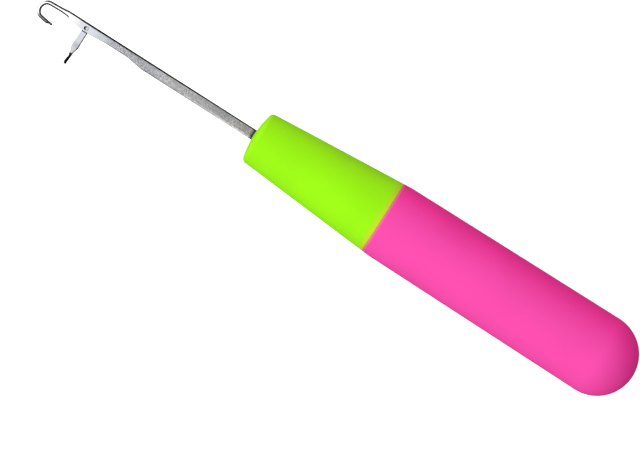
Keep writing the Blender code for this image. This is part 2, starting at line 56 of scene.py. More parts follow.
MERGE_DISTANCE = 0.001 * MM
STEEL_SMOOTH = radians(38.0)
UPRIGHT_SIDES = 48
WHITE = (1.0, 1.0, 1.0)
KEY_SIDE = Vector((-0.32, -0.45, 0.84)).normalized()

log = logging.getLogger("latch_hook")

Colour = tuple[float, float, float]
Direction = tuple[float, float, float]
Profile = Sequence[tuple[float, float]]
Item = bpy.types.Object
Socket = bpy.types.NodeSocket
Feed = float | Colour | Vector | Socket


def spread(start: float, end: float, steps: int) -> list[float]:
    """Gives the places of equal steps from a start, which is left out, to an end."""
    return [start + (end - start) * step / steps for step in range(1, steps + 1)]


def span(start: float, end: float, steps: int) -> list[float]:
    """Gives the places of equal steps from a start to an end, both of them kept."""
    return [start, *spread(start, end, steps)]


def eased(start: float, end: float, share: float) -> float:
    """Gives the value at a share of the way between two others, leaving and arriving without a corner."""
    share = min(max(share, 0.0), 1.0)
    return start + (end - start) * share * share * (3 - 2 * share)


def ramped(share: float, rounding: float) -> float:
    """Gives how far up a straight ramp is, from 0 to 1, when both of its ends are rounded.

    Args:
        share: The place along the ramp.
        rounding: The share of the ramp that each rounded end takes up.

    Returns:
        The height there.
    """
    share = min(max(share, 0.0), 1.0)
    near = min(share, 1 - share)
    if near < rounding:
        rise = near * near / (2 * rounding * (1 - rounding))
    else:
        rise = (near - rounding / 2) / (1 - rounding)
    return rise if share == near else 1 - rise


@dataclass(frozen=True)
class ToolFrame:
    """The tool's own frame, worked out from the latch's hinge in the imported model.

    The turns are the angles from rest at which the latch stops, shut and folded.
    """

    pivot: Vector
    turns: tuple[float, ...]
    stem_length: float = 46.6 * MM

    @classmethod
    def from_model(cls) -> "ToolFrame":
        """Reads where the latch's hinge is, and how far it turns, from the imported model."""
        hinge = next(joint for joint in frame["joints"] if joint["name"] == "latch_pivot")
        return cls(Vector(hinge["pos_m"]), tuple(radians(angle) for angle in hinge["range_deg"]))

    @property
    def nose(self) -> Vector:
        """The point of the axis at the tip of the collar's nose."""
        return Vector((self.pivot.x + self.stem_length, 0.0, self.pivot.z))

    def at(self, x: float, y: float = 0.0, z: float = 0.0) -> Vector:
        """Gives the row frame's point for a point of the tool's frame."""
        return self.nose + Vector((x, y, z))

    def along(self, *rows: tuple) -> list[tuple]:
        """Gives rows with their first number, an x in mm of the tool's frame, turned into the row frame's x."""
        return [(self.at(x * MM).x, *values) for x, *values in rows]

    def down(self, *rows: tuple) -> list[tuple]:
        """Gives rows with their first number, a y in mm from the pivot, turned into the row frame's y."""
        return [(self.pivot.y + y * MM, *values) for y, *values in rows]


class Bench:
    """One mesh on the bench, shaped in edit mode by Blender's own operators."""

    def __init__(self, name: str, item: Item) -> None:
        """Takes a new primitive, applies its place and opens it for editing.

        Args:
            name: The name that the object gets.
            item: The primitive, which is the active object.
        """
        item.name = name
        item.data.name = name
        self.item = item
        bpy.ops.object.transform_apply(location=True, rotation=True, scale=True)
        bpy.context.tool_settings.mesh_select_mode = (True, False, False)
        bpy.ops.object.mode_set(mode="EDIT")
        bpy.ops.mesh.select_all(action="SELECT")

    @staticmethod
    def clear() -> None:
        """Leaves edit mode and deselects everything."""
        if bpy.context.object is not None and bpy.context.object.mode != "OBJECT":
            bpy.ops.object.mode_set(mode="OBJECT")
        bpy.ops.object.select_all(action="DESELECT")

    @classmethod
    def take_up(cls, item: Item) -> None:
        """Makes a finished piece the one that is active and selected.

        Args:
            item: The piece.
        """
        cls.clear()
        bpy.context.view_layer.objects.active = item
        item.select_set(True)

    @classmethod
    def plane(cls, name: str, place: Vector, turn: Sequence[float], size: Sequence[float]) -> "Bench":
        """Adds a plane.

        Args:
            name: The name of the object.
            place: The centre of the plane.
            turn: Its rotation about X, Y and Z.
            size: Its two lengths before it is turned.

        Returns:
            The bench with the plane on it.
        """
        cls.clear()
        bpy.ops.mesh.primitive_plane_add(size=1.0, location=place, rotation=turn)
        bpy.context.object.scale = (*size, 1.0)
        return cls(name, bpy.context.object)

    @classmethod
    def line(cls, name: str, points: Sequence[Vector]) -> "Bench":
        """Draws a line from point to point, starting from a primitive shrunk to its first point.

        Args:
            name: The name of the object.
            points: The corners of the line, in order.

        Returns:
            The bench with the line on it, its last point selected.
        """
        bench = cls.plane(name, points[0], (0.0, 0.0, 0.0), (MM, MM))
        bpy.ops.mesh.merge(type="CENTER")
        for near, far in zip(points, points[1:]):
            bench.extrude(far - near)
        return bench

    def extrude(self, step: Vector) -> None:
        """Extrudes what is selected by a step."""
        bpy.ops.mesh.extrude_region_move(TRANSFORM_OT_translate={"value": tuple(step)})

    def move(self, step: Vector) -> None:
        """Moves what is selected by a step."""
        bpy.ops.transform.translate(value=tuple(step))

    def resize(self, factor: float, centre: Vector) -> None:
        """Resizes what is selected about a centre, alike in every direction."""
        bpy.ops.transform.resize(value=(factor,) * 3, center_override=tuple(centre))

    def turn(self, angle: float, centre: Vector) -> None:
        """Turns what is selected about a vertical line, anticlockwise seen from above."""
        bpy.ops.transform.rotate(value=-angle, orient_axis="Z", center_override=tuple(centre))

    def selected(self) -> list[int]:
        """Gives the numbers of the selected points."""
        shape = bmesh.from_edit_mesh(self.item.data)
        return [vert.index for vert in shape.verts if vert.select]

    def select(self, numbers: Iterable[int]) -> None:
        """Selects points, with the edges and faces that they span.

        Args:
            numbers: The numbers of the points.
        """
        bpy.ops.mesh.select_all(action="DESELECT")
        shape = bmesh.from_edit_mesh(self.item.data)
        wanted = set(numbers)
        for vert in shape.verts:
            vert.select = vert.index in wanted
        shape.select_flush(True)
        bmesh.update_edit_mesh(self.item.data)

    def close_up(self) -> None:
        """Merges doubled points and turns every face outwards."""
        bpy.ops.mesh.select_all(action="SELECT")
        bpy.ops.mesh.remove_doubles(threshold=MERGE_DISTANCE)
        bpy.ops.mesh.normals_make_consistent(inside=False)

    def spin(self, centre: Vector, axis: Direction, steps: int) -> None:
        """Turns the line on the bench into a closed round piece.

        Args:
            centre: A point of the axis.
            axis: The direction of the axis.
            steps: How many sides the piece gets.
        """
        bpy.ops.mesh.select_all(action="SELECT")
        bpy.ops.mesh.spin(steps=steps, angle=2 * pi, center=tuple(centre), axis=axis)
        self.close_up()

    def raise_outline(self, height: float) -> None:
        """Fills the closed outline on the bench and raises it into a solid, half above and half below.

        Args:
            height: How tall the solid is.
        """
        bpy.ops.mesh.select_all(action="SELECT")
        bpy.ops.mesh.remove_doubles(threshold=MERGE_DISTANCE)
        bpy.ops.mesh.edge_face_add()
        self.move(Vector((0.0, 0.0, -height / 2)))
        self.extrude(Vector((0.0, 0.0, height)))
        self.close_up()

    def finish(self, smooth_angle: float = STEEL_SMOOTH) -> Item:
        """Leaves edit mode and shades the piece smooth up to an angle.

        Args:
            smooth_angle: Edges sharper than this stay sharp.

        Returns:
            The finished object.
        """
        bpy.ops.object.mode_set(mode="OBJECT")
        bpy.ops.object.shade_smooth_by_angle(angle=smooth_angle)
        return self.item


def both_ways(half: Profile) -> Profile:
    """Gives a profile and its mirror image in one run."""
    return [*((-height, radius) for height, radius in reversed(half)), *half]


def turned_upright(name: str, centre: Vector, profile: Profile) -> Item:
    """Turns a profile about an upright line.

    Args:
        name: The name of the piece.
        centre: A point of the line, at the height that the profile is measured from.
        profile: Its corners as height and radius, from the line to the line.

    Returns:
        The piece.
    """
    bench = Bench.line(name, [centre + Vector((radius, 0.0, height)) for height, radius in profile])
    bench.spin(centre, (0.0, 0.0, 1.0), UPRIGHT_SIDES)
    return bench.finish()


def cut_away(target: Item, cutter: Item) -> None:
    """Cuts a piece with another object, which is removed afterwards.

    Args:
        target: The piece.
        cutter: What it is cut with.
    """
    Bench.take_up(target)
    modifier = target.modifiers.new("cut", "BOOLEAN")
    modifier.operation = "DIFFERENCE"
    modifier.solver = "EXACT"
    modifier.object = cutter
    bpy.ops.object.modifier_apply(modifier=modifier.name)
    bpy.data.objects.remove(cutter)


def shade_again(item: Item, smooth_angle: float = STEEL_SMOOTH) -> None:
    """Shades a piece smooth up to an angle, after it has been cut, with its flats kept flat.

    Args:
        item: The piece.
        smooth_angle: Edges sharper than this stay sharp.
    """
    Bench.take_up(item)
    bpy.ops.object.shade_smooth_by_angle(angle=smooth_angle)
    modifier = item.modifiers.new("flats", "WEIGHTED_NORMAL")
    modifier.keep_sharp = True
    bpy.ops.object.modifier_apply(modifier=modifier.name)


class Climb(Enum):
    """How a ramp climbs from its low value to its high one."""

    SOFT = "SMOOTHSTEP"
    EVEN = "LINEAR"


class Run(Enum):
    """The level axes that a finish may run along."""

    ALONG = "X"
    ACROSS = "Y"


class Wiring:
    """Short ways to add and join the nodes of one tree."""

    def __init__(self, tree: bpy.types.NodeTree) -> None:
        """Takes the tree."""
        self.tree = tree

    def feed(self, target: Socket, value: Feed) -> None:
        """Gives an input a value of its own, or joins it to the output that feeds it.

        Args:
            target: The input.
            value: A number, a colour, a direction or an output.
        """
        if isinstance(value, Socket):
            self.tree.links.new(value, target)
        elif target.type == "RGBA":
            target.default_value = (*value, 1.0)
        else:
            target.default_value = value

    def add(self, kind: str, inputs: Mapping[str | int, Feed] | None = None, **settings: object) -> bpy.types.Node:
        """Adds a node.

        Args:
            kind: Its kind, without the words that every kind starts with.
            inputs: What feeds its inputs, under their names or numbers.
            **settings: Its other settings.

        Returns:
            The node.
        """
        node = self.tree.nodes.new("ShaderNode" + kind)
        for name, value in settings.items():
            setattr(node, name, value)
        for label, value in (inputs or {}).items():
            self.feed(node.inputs[label], value)
        return node

    def maths(self, operation: str, first: Feed, second: Feed = 0.0) -> Socket:
        """Works out one value from one or two others."""
        return self.add("Math", {0: first, 1: second}, operation=operation).outputs["Value"]

    def lean(self, direction: Socket, side: Vector | Direction) -> Socket:
        """Gives how far a direction points to a side."""
        return self.add("VectorMath", {0: direction, 1: side}, operation="DOT_PRODUCT").outputs["Value"]

    def ramp(
        self, place: Socket, low: Feed, high: Feed, start: Feed = 0.0, end: Feed = 1.0, climb: Climb = Climb.SOFT
    ) -> Socket:
        """Gives a value that runs from low to high as a coordinate or a mask goes from a start to an end."""
        ends = {"Value": place, "From Min": start, "From Max": end, "To Min": low, "To Max": high}
        return self.add("MapRange", ends, interpolation_type=climb.value).outputs["Result"]

    def mixed(self, mask: Socket, first: Feed, second: float | Colour | Socket) -> Socket:
        """Mixes two values or two colours by a mask.

        Args:
            mask: 0 gives the first and 1 the second.
            first: A value or a colour, or its output.
            second: The other value, its output, or the other colour as three numbers.

        Returns:
            The mixed value or colour.
        """
        kind = "RGBA" if isinstance(second, tuple) else "VALUE"
        node = self.add("Mix", {"Factor": mask}, data_type="RGBA" if kind == "RGBA" else "FLOAT")
        for label, value in (("A", first), ("B", second)):
            self.feed(next(socket for socket in node.inputs if (socket.name, socket.type) == (label, kind)), value)
        return next(socket for socket in node.outputs if socket.type == kind)

    def curve(self, place: Socket, stations: Sequence[tuple[float, float | Colour]]) -> Socket:
        """Gives a value or a colour that runs smoothly from station to station along a coordinate.

        Args:
            place: The coordinate.
            stations: Places in rising order, each with the value or the colour there.

        Returns:
            The value or the colour.
        """
        value: Feed = stations[0][1]
        for (start, _), (end, level) in zip(stations, stations[1:]):
            value = self.mixed(self.ramp(place, 0.0, 1.0, start, end), value, level)
        return value


class Effects:
    """Shader node groups that several finishes use. They put out masks and heights only."""

    def __init__(self) -> None:
        """Builds each group once: an even grain, lines drawn out along X, and wide soft patches."""
        self.grain = self.noise("fine_grain", {"Per Metre": 4000.0, "Depth": 0.01 * MM}, 3.0, 0.6)
        lines = {"Per Metre": 9000.0, "Along Share": 0.03, "Depth": 0.004 * MM}
        self.lines = self.noise("drawn_lines", lines, 2.0)
        self.patches = self.noise("soft_patches", {"Per Metre": 60.0, "Low": 0.35, "High": 0.65}, 2.0)

    @staticmethod
    def noise(name: str, inputs: dict[str, float], detail: float, roughness: float = 0.5) -> bpy.types.NodeTree:
        """Makes a group of noise.

        Args:
            name: The name of the group.
            inputs: Its number inputs and what they start as. Along Share draws the noise out along X, Depth gives
                the group a height, and Low and High are where the mask of a group without one starts and ends.
            detail: The detail of the noise.
            roughness: The roughness of the noise.

        Returns:
            The group. Mask runs from 0 to 1, and Height is the same in metres.
        """
        tree = bpy.data.node_groups.new(name, "ShaderNodeTree")
        tree.interface.new_socket("Vector", in_out="INPUT", socket_type="NodeSocketVector")
        for label, value in inputs.items():
            tree.interface.new_socket(label, in_out="INPUT", socket_type="NodeSocketFloat").default_value = value
        for label in ["Mask", "Height"] if "Depth" in inputs else ["Mask"]:
            tree.interface.new_socket(label, in_out="OUTPUT", socket_type="NodeSocketFloat")
        source = tree.nodes.new("NodeGroupInput").outputs
        result = tree.nodes.new("NodeGroupOutput").inputs
        wiring = Wiring(tree)
        place = source["Vector"]
        if "Along Share" in inputs:
            stretch = wiring.add("CombineXYZ", {"X": source["Along Share"], "Y": 1.0, "Z": 1.0}).outputs["Vector"]
            place = wiring.add("VectorMath", {0: place, 1: stretch}, operation="MULTIPLY").outputs["Vector"]
        looks = {"Vector": place, "Scale": source["Per Metre"], "Detail": detail, "Roughness": roughness}
        mask = wiring.add("TexNoise", looks).outputs["Fac"]
        if "Depth" in inputs:
            wiring.feed(result["Height"], wiring.maths("MULTIPLY", mask, source["Depth"]))
        else:
            mask = wiring.ramp(mask, 0.0, 1.0, source["Low"], source["High"])
        wiring.feed(result["Mask"], mask)
        return tree


class Recipe(Wiring):
    """A material in the making, with the coordinates that its nodes start from and its shader."""

    def __init__(self, name: str) -> None:
        """Starts a material with a Principled shader and Object coordinates.

        Args:
            name: The name of the material.
        """
        self.material = bpy.data.materials.new(name)
        self.material.use_nodes = True
        super().__init__(self.material.node_tree)
        self.principled = self.tree.nodes["Principled BSDF"]
        self.shader = self.principled.inputs
        coordinates = self.add("TexCoord").outputs
        self.place = coordinates["Object"]
        self.facing = coordinates["Normal"]
        self.along = self.apart(self.place)

    def apart(self, vector: Socket) -> bpy.types.NodeOutputs:
        """Gives the X, Y and Z of a vector."""
        return self.add("SeparateXYZ", {"Vector": vector}).outputs

    def effect(self, group: bpy.types.NodeTree, values: Mapping[str, float]) -> bpy.types.NodeOutputs:
        """Places a shared group, fed by Object coordinates and values of its own, and gives its outputs."""
        return self.add("Group", {"Vector": self.place, **values}, node_tree=group).outputs

    def tinted(self, level: Socket, tint: Socket) -> Socket:
        """Scales a colour by a level."""
        return self.add("VectorMath", {0: tint, "Scale": level}, operation="SCALE").outputs["Vector"]

    def bump(self, height: Socket) -> None:
        """Raises the surface by a height in metres."""
        self.feed(self.shader["Normal"], self.add("Bump", {"Distance": 1.0, "Height": height}).outputs["Normal"])


@dataclass(frozen=True)
class Moulding:
    """A soft matt moulding: the fine grain of its mould, slight patches of handling and a seam that melts over.

    Its colour is painted paler where it faces the key light and deeper where it turns away: painted light and
    painted shade. Near the seam a warm tint is painted in as well: painted bounce light between lime and pink.
    """

    painted_lit_colour: Colour
    painted_shade_colour: Colour
    painted_seam_bounce: Colour
    seam_x: float
    seam_reach: float = 0.7 * MM
    seam_share: float = 0.55
    painted_light_reach: tuple[float, float] = (-0.1, 0.9)
    patch_level: float = 0.965
    roughness: float = 0.56
    roughness_reach: float = 0.14
    grain_per_metre: float = 2600.0
    grain_depth: float = 0.012 * MM
    patches_per_metre: float = 70.0
    gloss: float = 0.12

    def material(self, name: str, effects: Effects) -> bpy.types.Material:
        """Makes the material.

        Args:
            name: Its name.
            effects: The shared node groups.

        Returns:
            The material.
        """
        recipe = Recipe(name)
        grain = recipe.effect(effects.grain, {"Per Metre": self.grain_per_metre, "Depth": self.grain_depth})
        patches = recipe.effect(effects.patches, {"Per Metre": self.patches_per_metre})
        # Painted light and painted shade: this mask is how squarely the surface faces the key light.
        painted_light_mask = recipe.ramp(recipe.lean(recipe.facing, KEY_SIDE), 0.0, 1.0, *self.painted_light_reach)
        level = recipe.ramp(patches["Mask"], 1.0, self.patch_level)
        colour = recipe.tinted(level, recipe.mixed(painted_light_mask, self.painted_shade_colour, self.painted_lit_colour))
        # Painted bounce light: towards the seam the colour turns to a warm tint.
        away = recipe.maths("ABSOLUTE", recipe.maths("SUBTRACT", recipe.along["X"], self.seam_x))
        seam_bounce_mask = recipe.ramp(away, self.seam_share, 0.0, 0.0, self.seam_reach)
        rough = recipe.ramp(grain["Mask"], self.roughness, self.roughness + self.roughness_reach)
        recipe.feed(recipe.shader["Base Color"], recipe.mixed(seam_bounce_mask, colour, self.painted_seam_bounce))
        recipe.feed(recipe.shader["Roughness"], rough)
        recipe.feed(recipe.shader["Specular IOR Level"], self.gloss)
        recipe.bump(grain["Height"])
        return recipe.material


@dataclass(frozen=True)
class Steel:
    """Steel whose tone and polish change from place to place, with edges that handling has polished.

    Tones are places, tones and roughnesses along one direction, and tints are places and colours. The tone is
    partly the steel's own polish and partly painted reflection and painted shade. A factor along the piece paints
    one side of it lighter or darker, painted light and painted shade, and ground is where the arm of the hook is
    ground dull.
    """

    tones_and_painted_light: Sequence[tuple[float, float, float]]
    tints: Sequence[tuple[float, Colour]]
    direction: Run = Run.ALONG
    side: Run = Run.ACROSS
    painted_side_light: Sequence[tuple[float, float]] = ((0.0, 1.0), (1.0, 1.0))
    painted_side_reach: tuple[float, float] = (-0.9, -1.0)
    ground: tuple[float, float] = (-1.0, -0.9)
    ground_tone: float = 0.46
    ground_roughness: float = 0.5
    edge_roughness: float = 0.1
    edge_reach: tuple[float, float] = (0.99, 0.95)
    satin_reach: tuple[float, float] = (0.18, 0.3)
    mottle: float = 0.4
    mottle_reach: tuple[float, float] = (0.34, 0.66)
    grain_per_metre: float = 3400.0
    grain_depth: float = 0.02 * MM
    line_depth: float = 0.003 * MM
    patches_per_metre: float = 160.0
    patch_reach: tuple[float, float] = (0.3, 0.7)
    wear: float = 0.1

    def material(self, name: str, effects: Effects) -> bpy.types.Material:
        """Makes the material.

        Args:
            name: Its name.
            effects: The shared node groups.

        Returns:
            The material.
        """
        recipe = Recipe(name)
        grain = recipe.effect(effects.grain, {"Per Metre": self.grain_per_metre, "Depth": self.grain_depth})
        lines = recipe.effect(effects.lines, {"Depth": self.line_depth})
        low, high = self.patch_reach
        patches = recipe.effect(effects.patches, {"Per Metre": self.patches_per_metre, "Low": low, "High": high})
        place = recipe.along[self.direction.value]
        ground = recipe.ramp(recipe.along["Y"], 1.0, 0.0, *self.ground)
        # Painted light and painted shade: one side of the piece is made lighter or darker by a factor along its
        # length.
        painted_side_mask = recipe.ramp(recipe.along[self.side.value], 0.0, 1.0, *self.painted_side_reach)
        # The tone along the piece is partly the steel's own polish and partly painted reflection and painted shade.
        tone = recipe.curve(place, [(at, level) for at, level, _ in self.tones_and_painted_light])
        tone = recipe.maths("MULTIPLY", tone, recipe.mixed(painted_side_mask, 1.0, recipe.curve(place, self.painted_side_light)))
        tone = recipe.mixed(ground, tone, self.ground_tone)
        flat = recipe.curve(place, [(at, level) for at, _, level in self.tones_and_painted_light])
        satin = recipe.ramp(flat, 0.0, 1.0, *self.satin_reach)
        speckle = recipe.ramp(grain["Mask"], 1 - self.mottle, 1 + self.mottle, *self.mottle_reach)
        level = recipe.maths("MULTIPLY", tone, recipe.mixed(satin, 1.0, speckle))
        upright = recipe.maths("ABSOLUTE", recipe.apart(recipe.facing)["Z"])
        rough = recipe.mixed(recipe.ramp(upright, 0.0, 1.0, *self.edge_reach), flat, self.edge_roughness)
        rough = recipe.mixed(ground, rough, self.ground_roughness)
        worn = recipe.ramp(patches["Mask"], 1 - self.wear, 1 + self.wear)
        recipe.feed(recipe.shader["Metallic"], 1.0)
        recipe.feed(recipe.shader["Base Color"], recipe.tinted(level, recipe.curve(place, self.tints)))
        recipe.feed(recipe.shader["Roughness"], recipe.maths("MULTIPLY", rough, worn))
        recipe.bump(recipe.maths("ADD", recipe.maths("MULTIPLY", grain["Height"], satin), lines["Height"]))
        return recipe.material


class Finish(Enum):
    """The finishes of the tool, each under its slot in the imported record."""

    LIME = "lime_moulding"
    PINK = "pink_moulding"
    CORE = "core_moulding"
    NEEDLE = "needle_steel"
    LATCH = "latch_steel"
    RIVET = "rivet_steel"


class Palette:
    """Makes each finish once and dresses pieces with it."""

    def __init__(self, tool: ToolFrame, seam_x: float) -> None:
        """Makes the materials.

        Args:
            tool: The tool's frame, in which the finishes change from place to place.
            seam_x: Where lime and pink meet.
        """
        effects = Effects()
        recipes = {**self.mouldings(seam_x), **self.steels(tool)}
        self.materials = {finish: recipe.material(finish.value, effects) for finish, recipe in recipes.items()}

    @staticmethod
    def mouldings(seam_x: float) -> dict[Finish, Moulding]:
        """Gives the three mouldings of the handle.

        Args:
            seam_x: Where lime and pink meet.

        Returns:
            The mouldings under their finishes.
        """
        core = (0.7605, 0.7454, 0.7011)
        # Each moulding has a painted lit colour and a painted shaded colour: painted light and painted shade.
        return {
            Finish.LIME: Moulding(
                painted_lit_colour=(0.266, 0.750, 0.002),
                painted_shade_colour=(0.345, 0.860, 0.004),
                # The seam tints are painted bounce light where the lime meets the pink.
                painted_seam_bounce=(0.62, 0.45, 0.03),
                seam_x=seam_x,
                seam_reach=1.9 * MM,
                seam_share=0.62,
            ),
            Finish.PINK: Moulding(
                painted_lit_colour=(0.775, 0.057, 0.342), painted_shade_colour=(0.990, 0.03, 0.330), painted_seam_bounce=(0.72, 0.26, 0.18), seam_x=seam_x
            ),
            Finish.CORE: Moulding(painted_lit_colour=core, painted_shade_colour=(0.7084, 0.6867, 0.6308), painted_seam_bounce=core, seam_x=seam_x),
        }

    @staticmethod
    def steels(tool: ToolFrame) -> dict[Finish, Steel]:
        """Gives the steels, the needle's from its hook to the collar and the latch's from its lip to its eye.

        The needle is bluish about the latch and warm by the handle, and the latch faintly violet by its eye.
        Their tones are partly polish and partly painted reflection and painted shade, and one side of each is
        painted lighter or darker.

        Args:
            tool: The tool's frame.

        Returns:
            The steels under their finishes.
        """
        # Tones paint reflection: near white at hook and cheeks, with painted shade where the stem enters the
        # collar.
        needle_tones_and_painted_light = tool.along(
            (-56.0, 0.95, 0.2), (-54.6, 0.95, 0.09), (-51.5, 0.9, 0.08), (-49.5, 0.72, 0.1), (-48.2, 0.62, 0.12),
            (-45.0, 0.61, 0.14), (-42.5, 0.58, 0.18), (-39.5, 0.51, 0.26), (-36.0, 0.48, 0.3), (-28.0, 0.57, 0.3),
            (-20.0, 0.51, 0.3), (-14.0, 0.5, 0.3), (-1.2, 0.41, 0.3), (-0.2, 0.07, 0.5),
        )
        needle_tints = tool.along(
            (-50.0, WHITE), (-47.8, (1.0, 0.985, 1.035)), (-46.0, (0.95, 0.985, 1.06)),
            (-41.0, (0.955, 0.98, 1.06)), (-38.0, (0.985, 0.985, 1.03)), (-30.0, (0.975, 0.985, 1.04)),
            (-22.0, (1.0, 1.0, 1.01)), (-10.0, (1.0, 1.0, 0.99)), (-2.0, (1.035, 1.0, 0.96)),
        )
        # Painted light on the stem's hook side, growing towards the collar, with painted shade about x = -28 mm.
        needle_painted_side_light = tool.along(
            (-32.0, 1.0), (-28.0, 0.75), (-22.0, 0.9), (-17.0, 1.3), (-12.0, 1.55), (-7.0, 1.75), (-1.2, 1.9)
        )
        # Painted shade: the spoon is dark as if in shadow, and so is the latch from where it goes in under the
        # cheeks.
        latch_tones_and_painted_shade = tool.down(
            (-9.7, 0.08, 0.35), (-8.0, 0.08, 0.35), (-7.5, 0.13, 0.3), (-7.05, 0.2, 0.25), (-6.7, 0.54, 0.2),
            (-5.6, 0.55, 0.2), (-4.7, 0.48, 0.2), (-3.4, 0.56, 0.14), (-1.14, 0.58, 0.12), (-0.98, 0.08, 0.2),
        )
        latch_tints = tool.down(
            (-9.7, WHITE), (-6.5, (0.985, 1.0, 1.01)), (-4.0, (0.96, 0.99, 1.05)), (-1.0, (0.955, 0.965, 1.085))
        )
        rivet_tint = (0.95, 0.99, 1.04)
        return {
            Finish.NEEDLE: Steel(
                needle_tones_and_painted_light,
                needle_tints,
                painted_side_light=needle_painted_side_light,
                painted_side_reach=(-0.66 * MM, -0.92 * MM),
                ground=(tool.pivot.y - 3.25 * MM, tool.pivot.y - 2.85 * MM),
            ),
            Finish.LATCH: Steel(
                latch_tones_and_painted_shade,
                latch_tints,
                direction=Run.ACROSS,
                side=Run.ALONG,
                # Painted shade: the latch is darker on its side towards the handle, over its flat and waist.
                painted_side_light=tool.down((-6.2, 1.0), (-5.4, 0.5), (0.0, 0.5)),
                painted_side_reach=(tool.pivot.x + 0.42 * MM, tool.pivot.x + 0.58 * MM),
                edge_roughness=0.14,
            ),
            Finish.RIVET: Steel([(-1.0, 0.6, 0.26), (1.0, 0.6, 0.26)], [(-1.0, rivet_tint), (1.0, rivet_tint)]),
        }

    def dress_node(self, name: str, finish: Finish) -> None:
        """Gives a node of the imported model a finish, in the material slots that it has."""
        for slot in frame["nodes"][name].material_slots:
            slot.material = self.materials[finish]

    def take_place(self, item: Item, node: str, body: str, finish: Finish) -> None:
        """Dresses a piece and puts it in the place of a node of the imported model.

        Args:
            item: The piece.
            node: The node that it stands for.
            body: The body that it rides on.
            finish: Its finish.
        """
        item.data.materials.clear()
        item.data.materials.append(self.materials[finish])
        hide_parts(node)
        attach(item, body)
        log.info("%s: %d faces, rides on %s", item.name, len(item.data.polygons), body)


